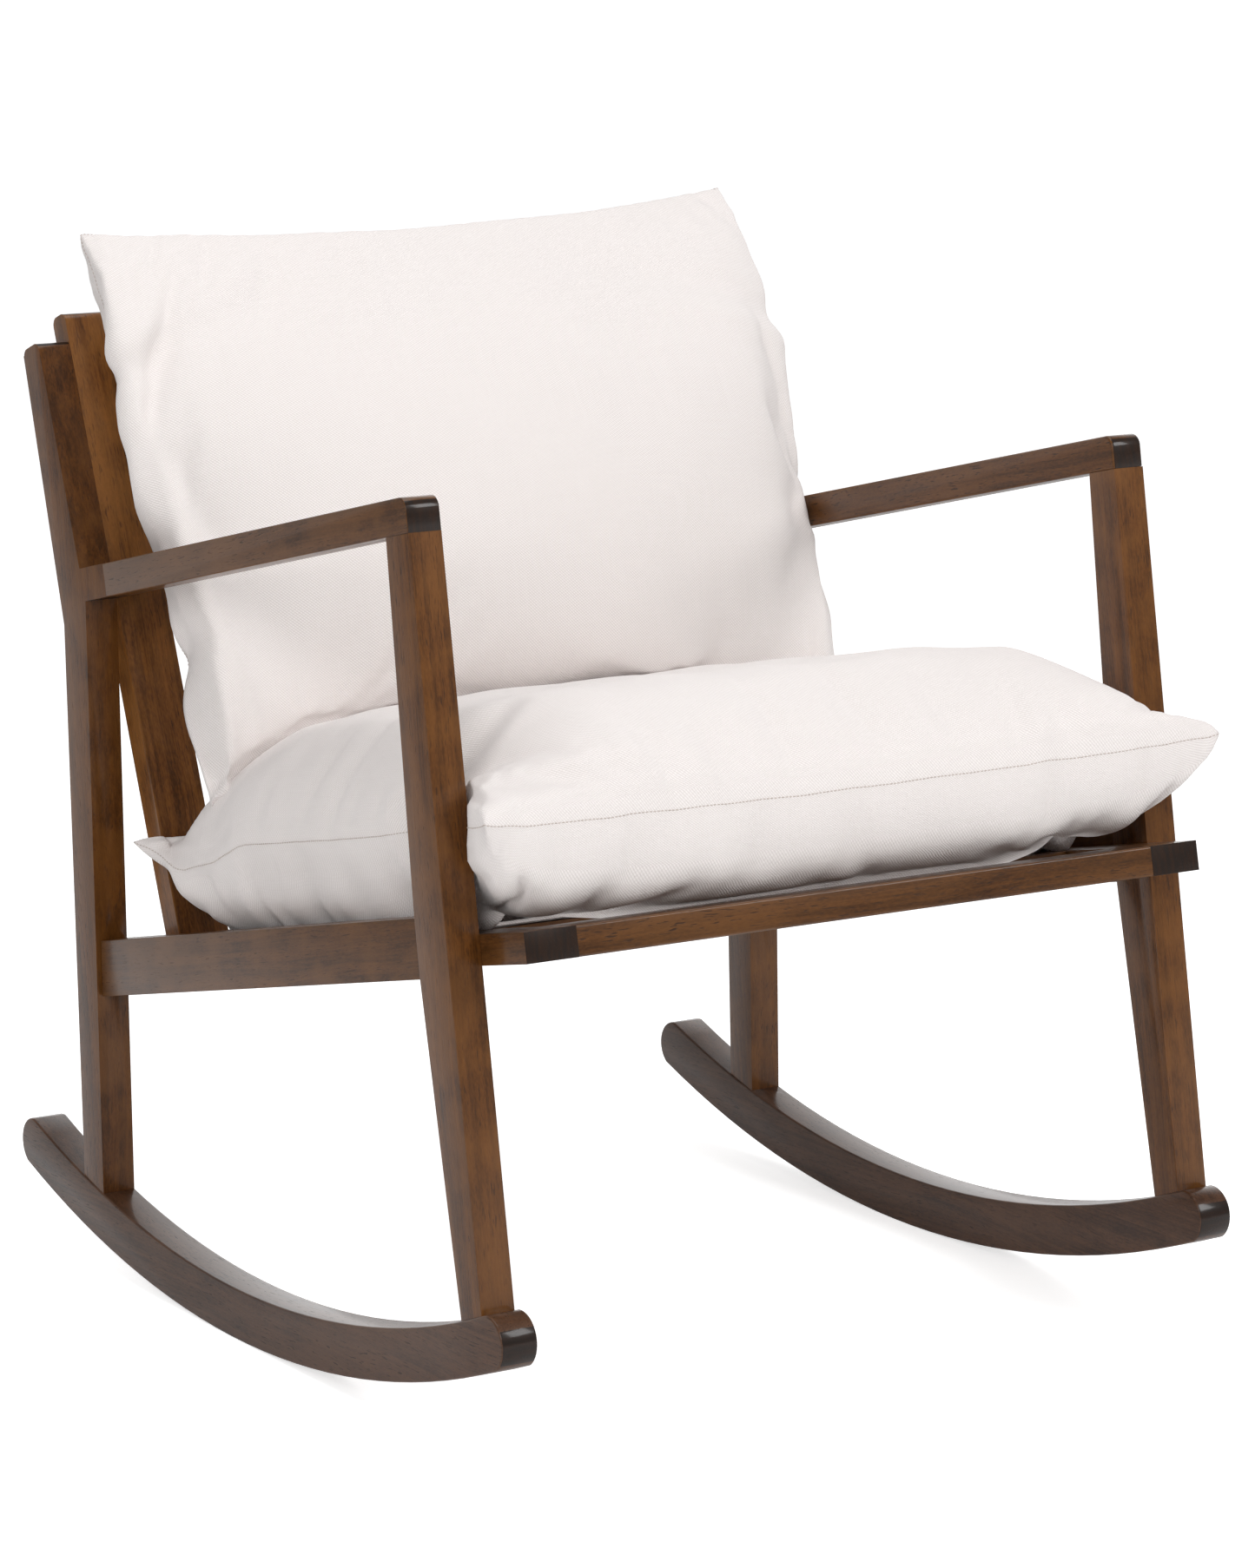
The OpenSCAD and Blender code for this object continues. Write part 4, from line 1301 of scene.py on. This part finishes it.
def sew(case, seam, body):
    """A row of stitches along the case's seam."""
    data = bpy.data.meshes.new("seam line")
    lift = THREAD * PROUD_SHARE
    points = [case.data.vertices[n].co + lift * case.data.vertices[n].normal for n in seam]
    data.from_pydata(points, [(i, (i + 1) % len(points)) for i in range(len(points))], [])
    row = grown(case.name.replace("cover", "stitches"), data, stitch_row,
                Pitch=STITCH_PITCH, Thread=THREAD, Stitch=STITCH_STRETCH,
                Material=SEWING_THREAD)
    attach(row, body)
    print(row.name, len(row.data.polygons), "faces")


sew(seat_cushion, seat_seam, "seat_cushion")
sew(back_cushion, back_seam, "back_cushion")

# %% [markdown]
# ## The parts that hold it together
#
# These are hidden in use, and they stay as the CAD made them. Dowels are plain beech. Screws and
# washers are zinc-plated steel, bolts are blackened, and the threaded inserts are brass. Metal
# that was turned or drawn carries very fine scratches, so its roughness varies a little.

# %% Metals and dowels
SCRATCH_WAVES = (900.0, 900.0, 90.0)
FLECK_WAVES = (60.0, 900.0, 900.0)
BEECH_COLOR = (0.62, 0.42, 0.24, 1)
BEECH_FLECK = (0.45, 0.28, 0.15, 1)
DULLED = 0.8


def plain_metal(name, color, roughness):
    """A metal with very fine scratches, a little duller and rougher in places."""
    made, shader = new_material(name)
    tree = made.node_tree
    place = tree.nodes.new("ShaderNodeTexCoord")
    fine = noise(tree, stretched(tree, place.outputs["Object"], SCRATCH_WAVES), 2.0)
    worn = ramped(tree, fine, 0.3, 0.7, roughness * 0.8, roughness * 1.25)
    wire(tree, worn, shader.inputs["Roughness"])
    dull = tuple(v * DULLED for v in color)
    tint = mixed(tree, ramped(tree, fine, 0.4, 0.8), (*color, 1), (*dull, 1))
    wire(tree, tint, shader.inputs["Base Color"])
    set_inputs(shader, Metallic=1.0)
    return made


def dowel_beech():
    """Plain beech with the short dark flecks that mark it."""
    made, shader = new_material("beech dowel")
    tree = made.node_tree
    place = tree.nodes.new("ShaderNodeTexCoord")
    flecks = noise(tree, stretched(tree, place.outputs["Object"], FLECK_WAVES), 2.0)
    tint = mixed(tree, ramped(tree, flecks, 0.35, 0.7), BEECH_COLOR, BEECH_FLECK)
    wire(tree, tint, shader.inputs["Base Color"])
    set_inputs(shader, Roughness=0.65)
    return made


ZINC = plain_metal("zinc-plated steel", (0.62, 0.64, 0.66), 0.32)
BLACKENED = plain_metal("blackened steel", (0.06, 0.06, 0.065), 0.42)
BRASS = plain_metal("brass", (0.74, 0.55, 0.24), 0.30)
BEECH = dowel_beech()
FINISH_OF = {
    "dowels": BEECH,
    "screws": ZINC,
    "washers": ZINC,
    "bolts": BLACKENED,
    "inserts": BRASS,
}
for name, node in NODES.items():
    finish = FINISH_OF.get(name.rsplit("_", 1)[-1])
    if finish is not None:
        for slot in node.material_slots:
            slot.material = finish
        if not node.material_slots:
            node.data.materials.append(finish)
        print(name, finish.name)
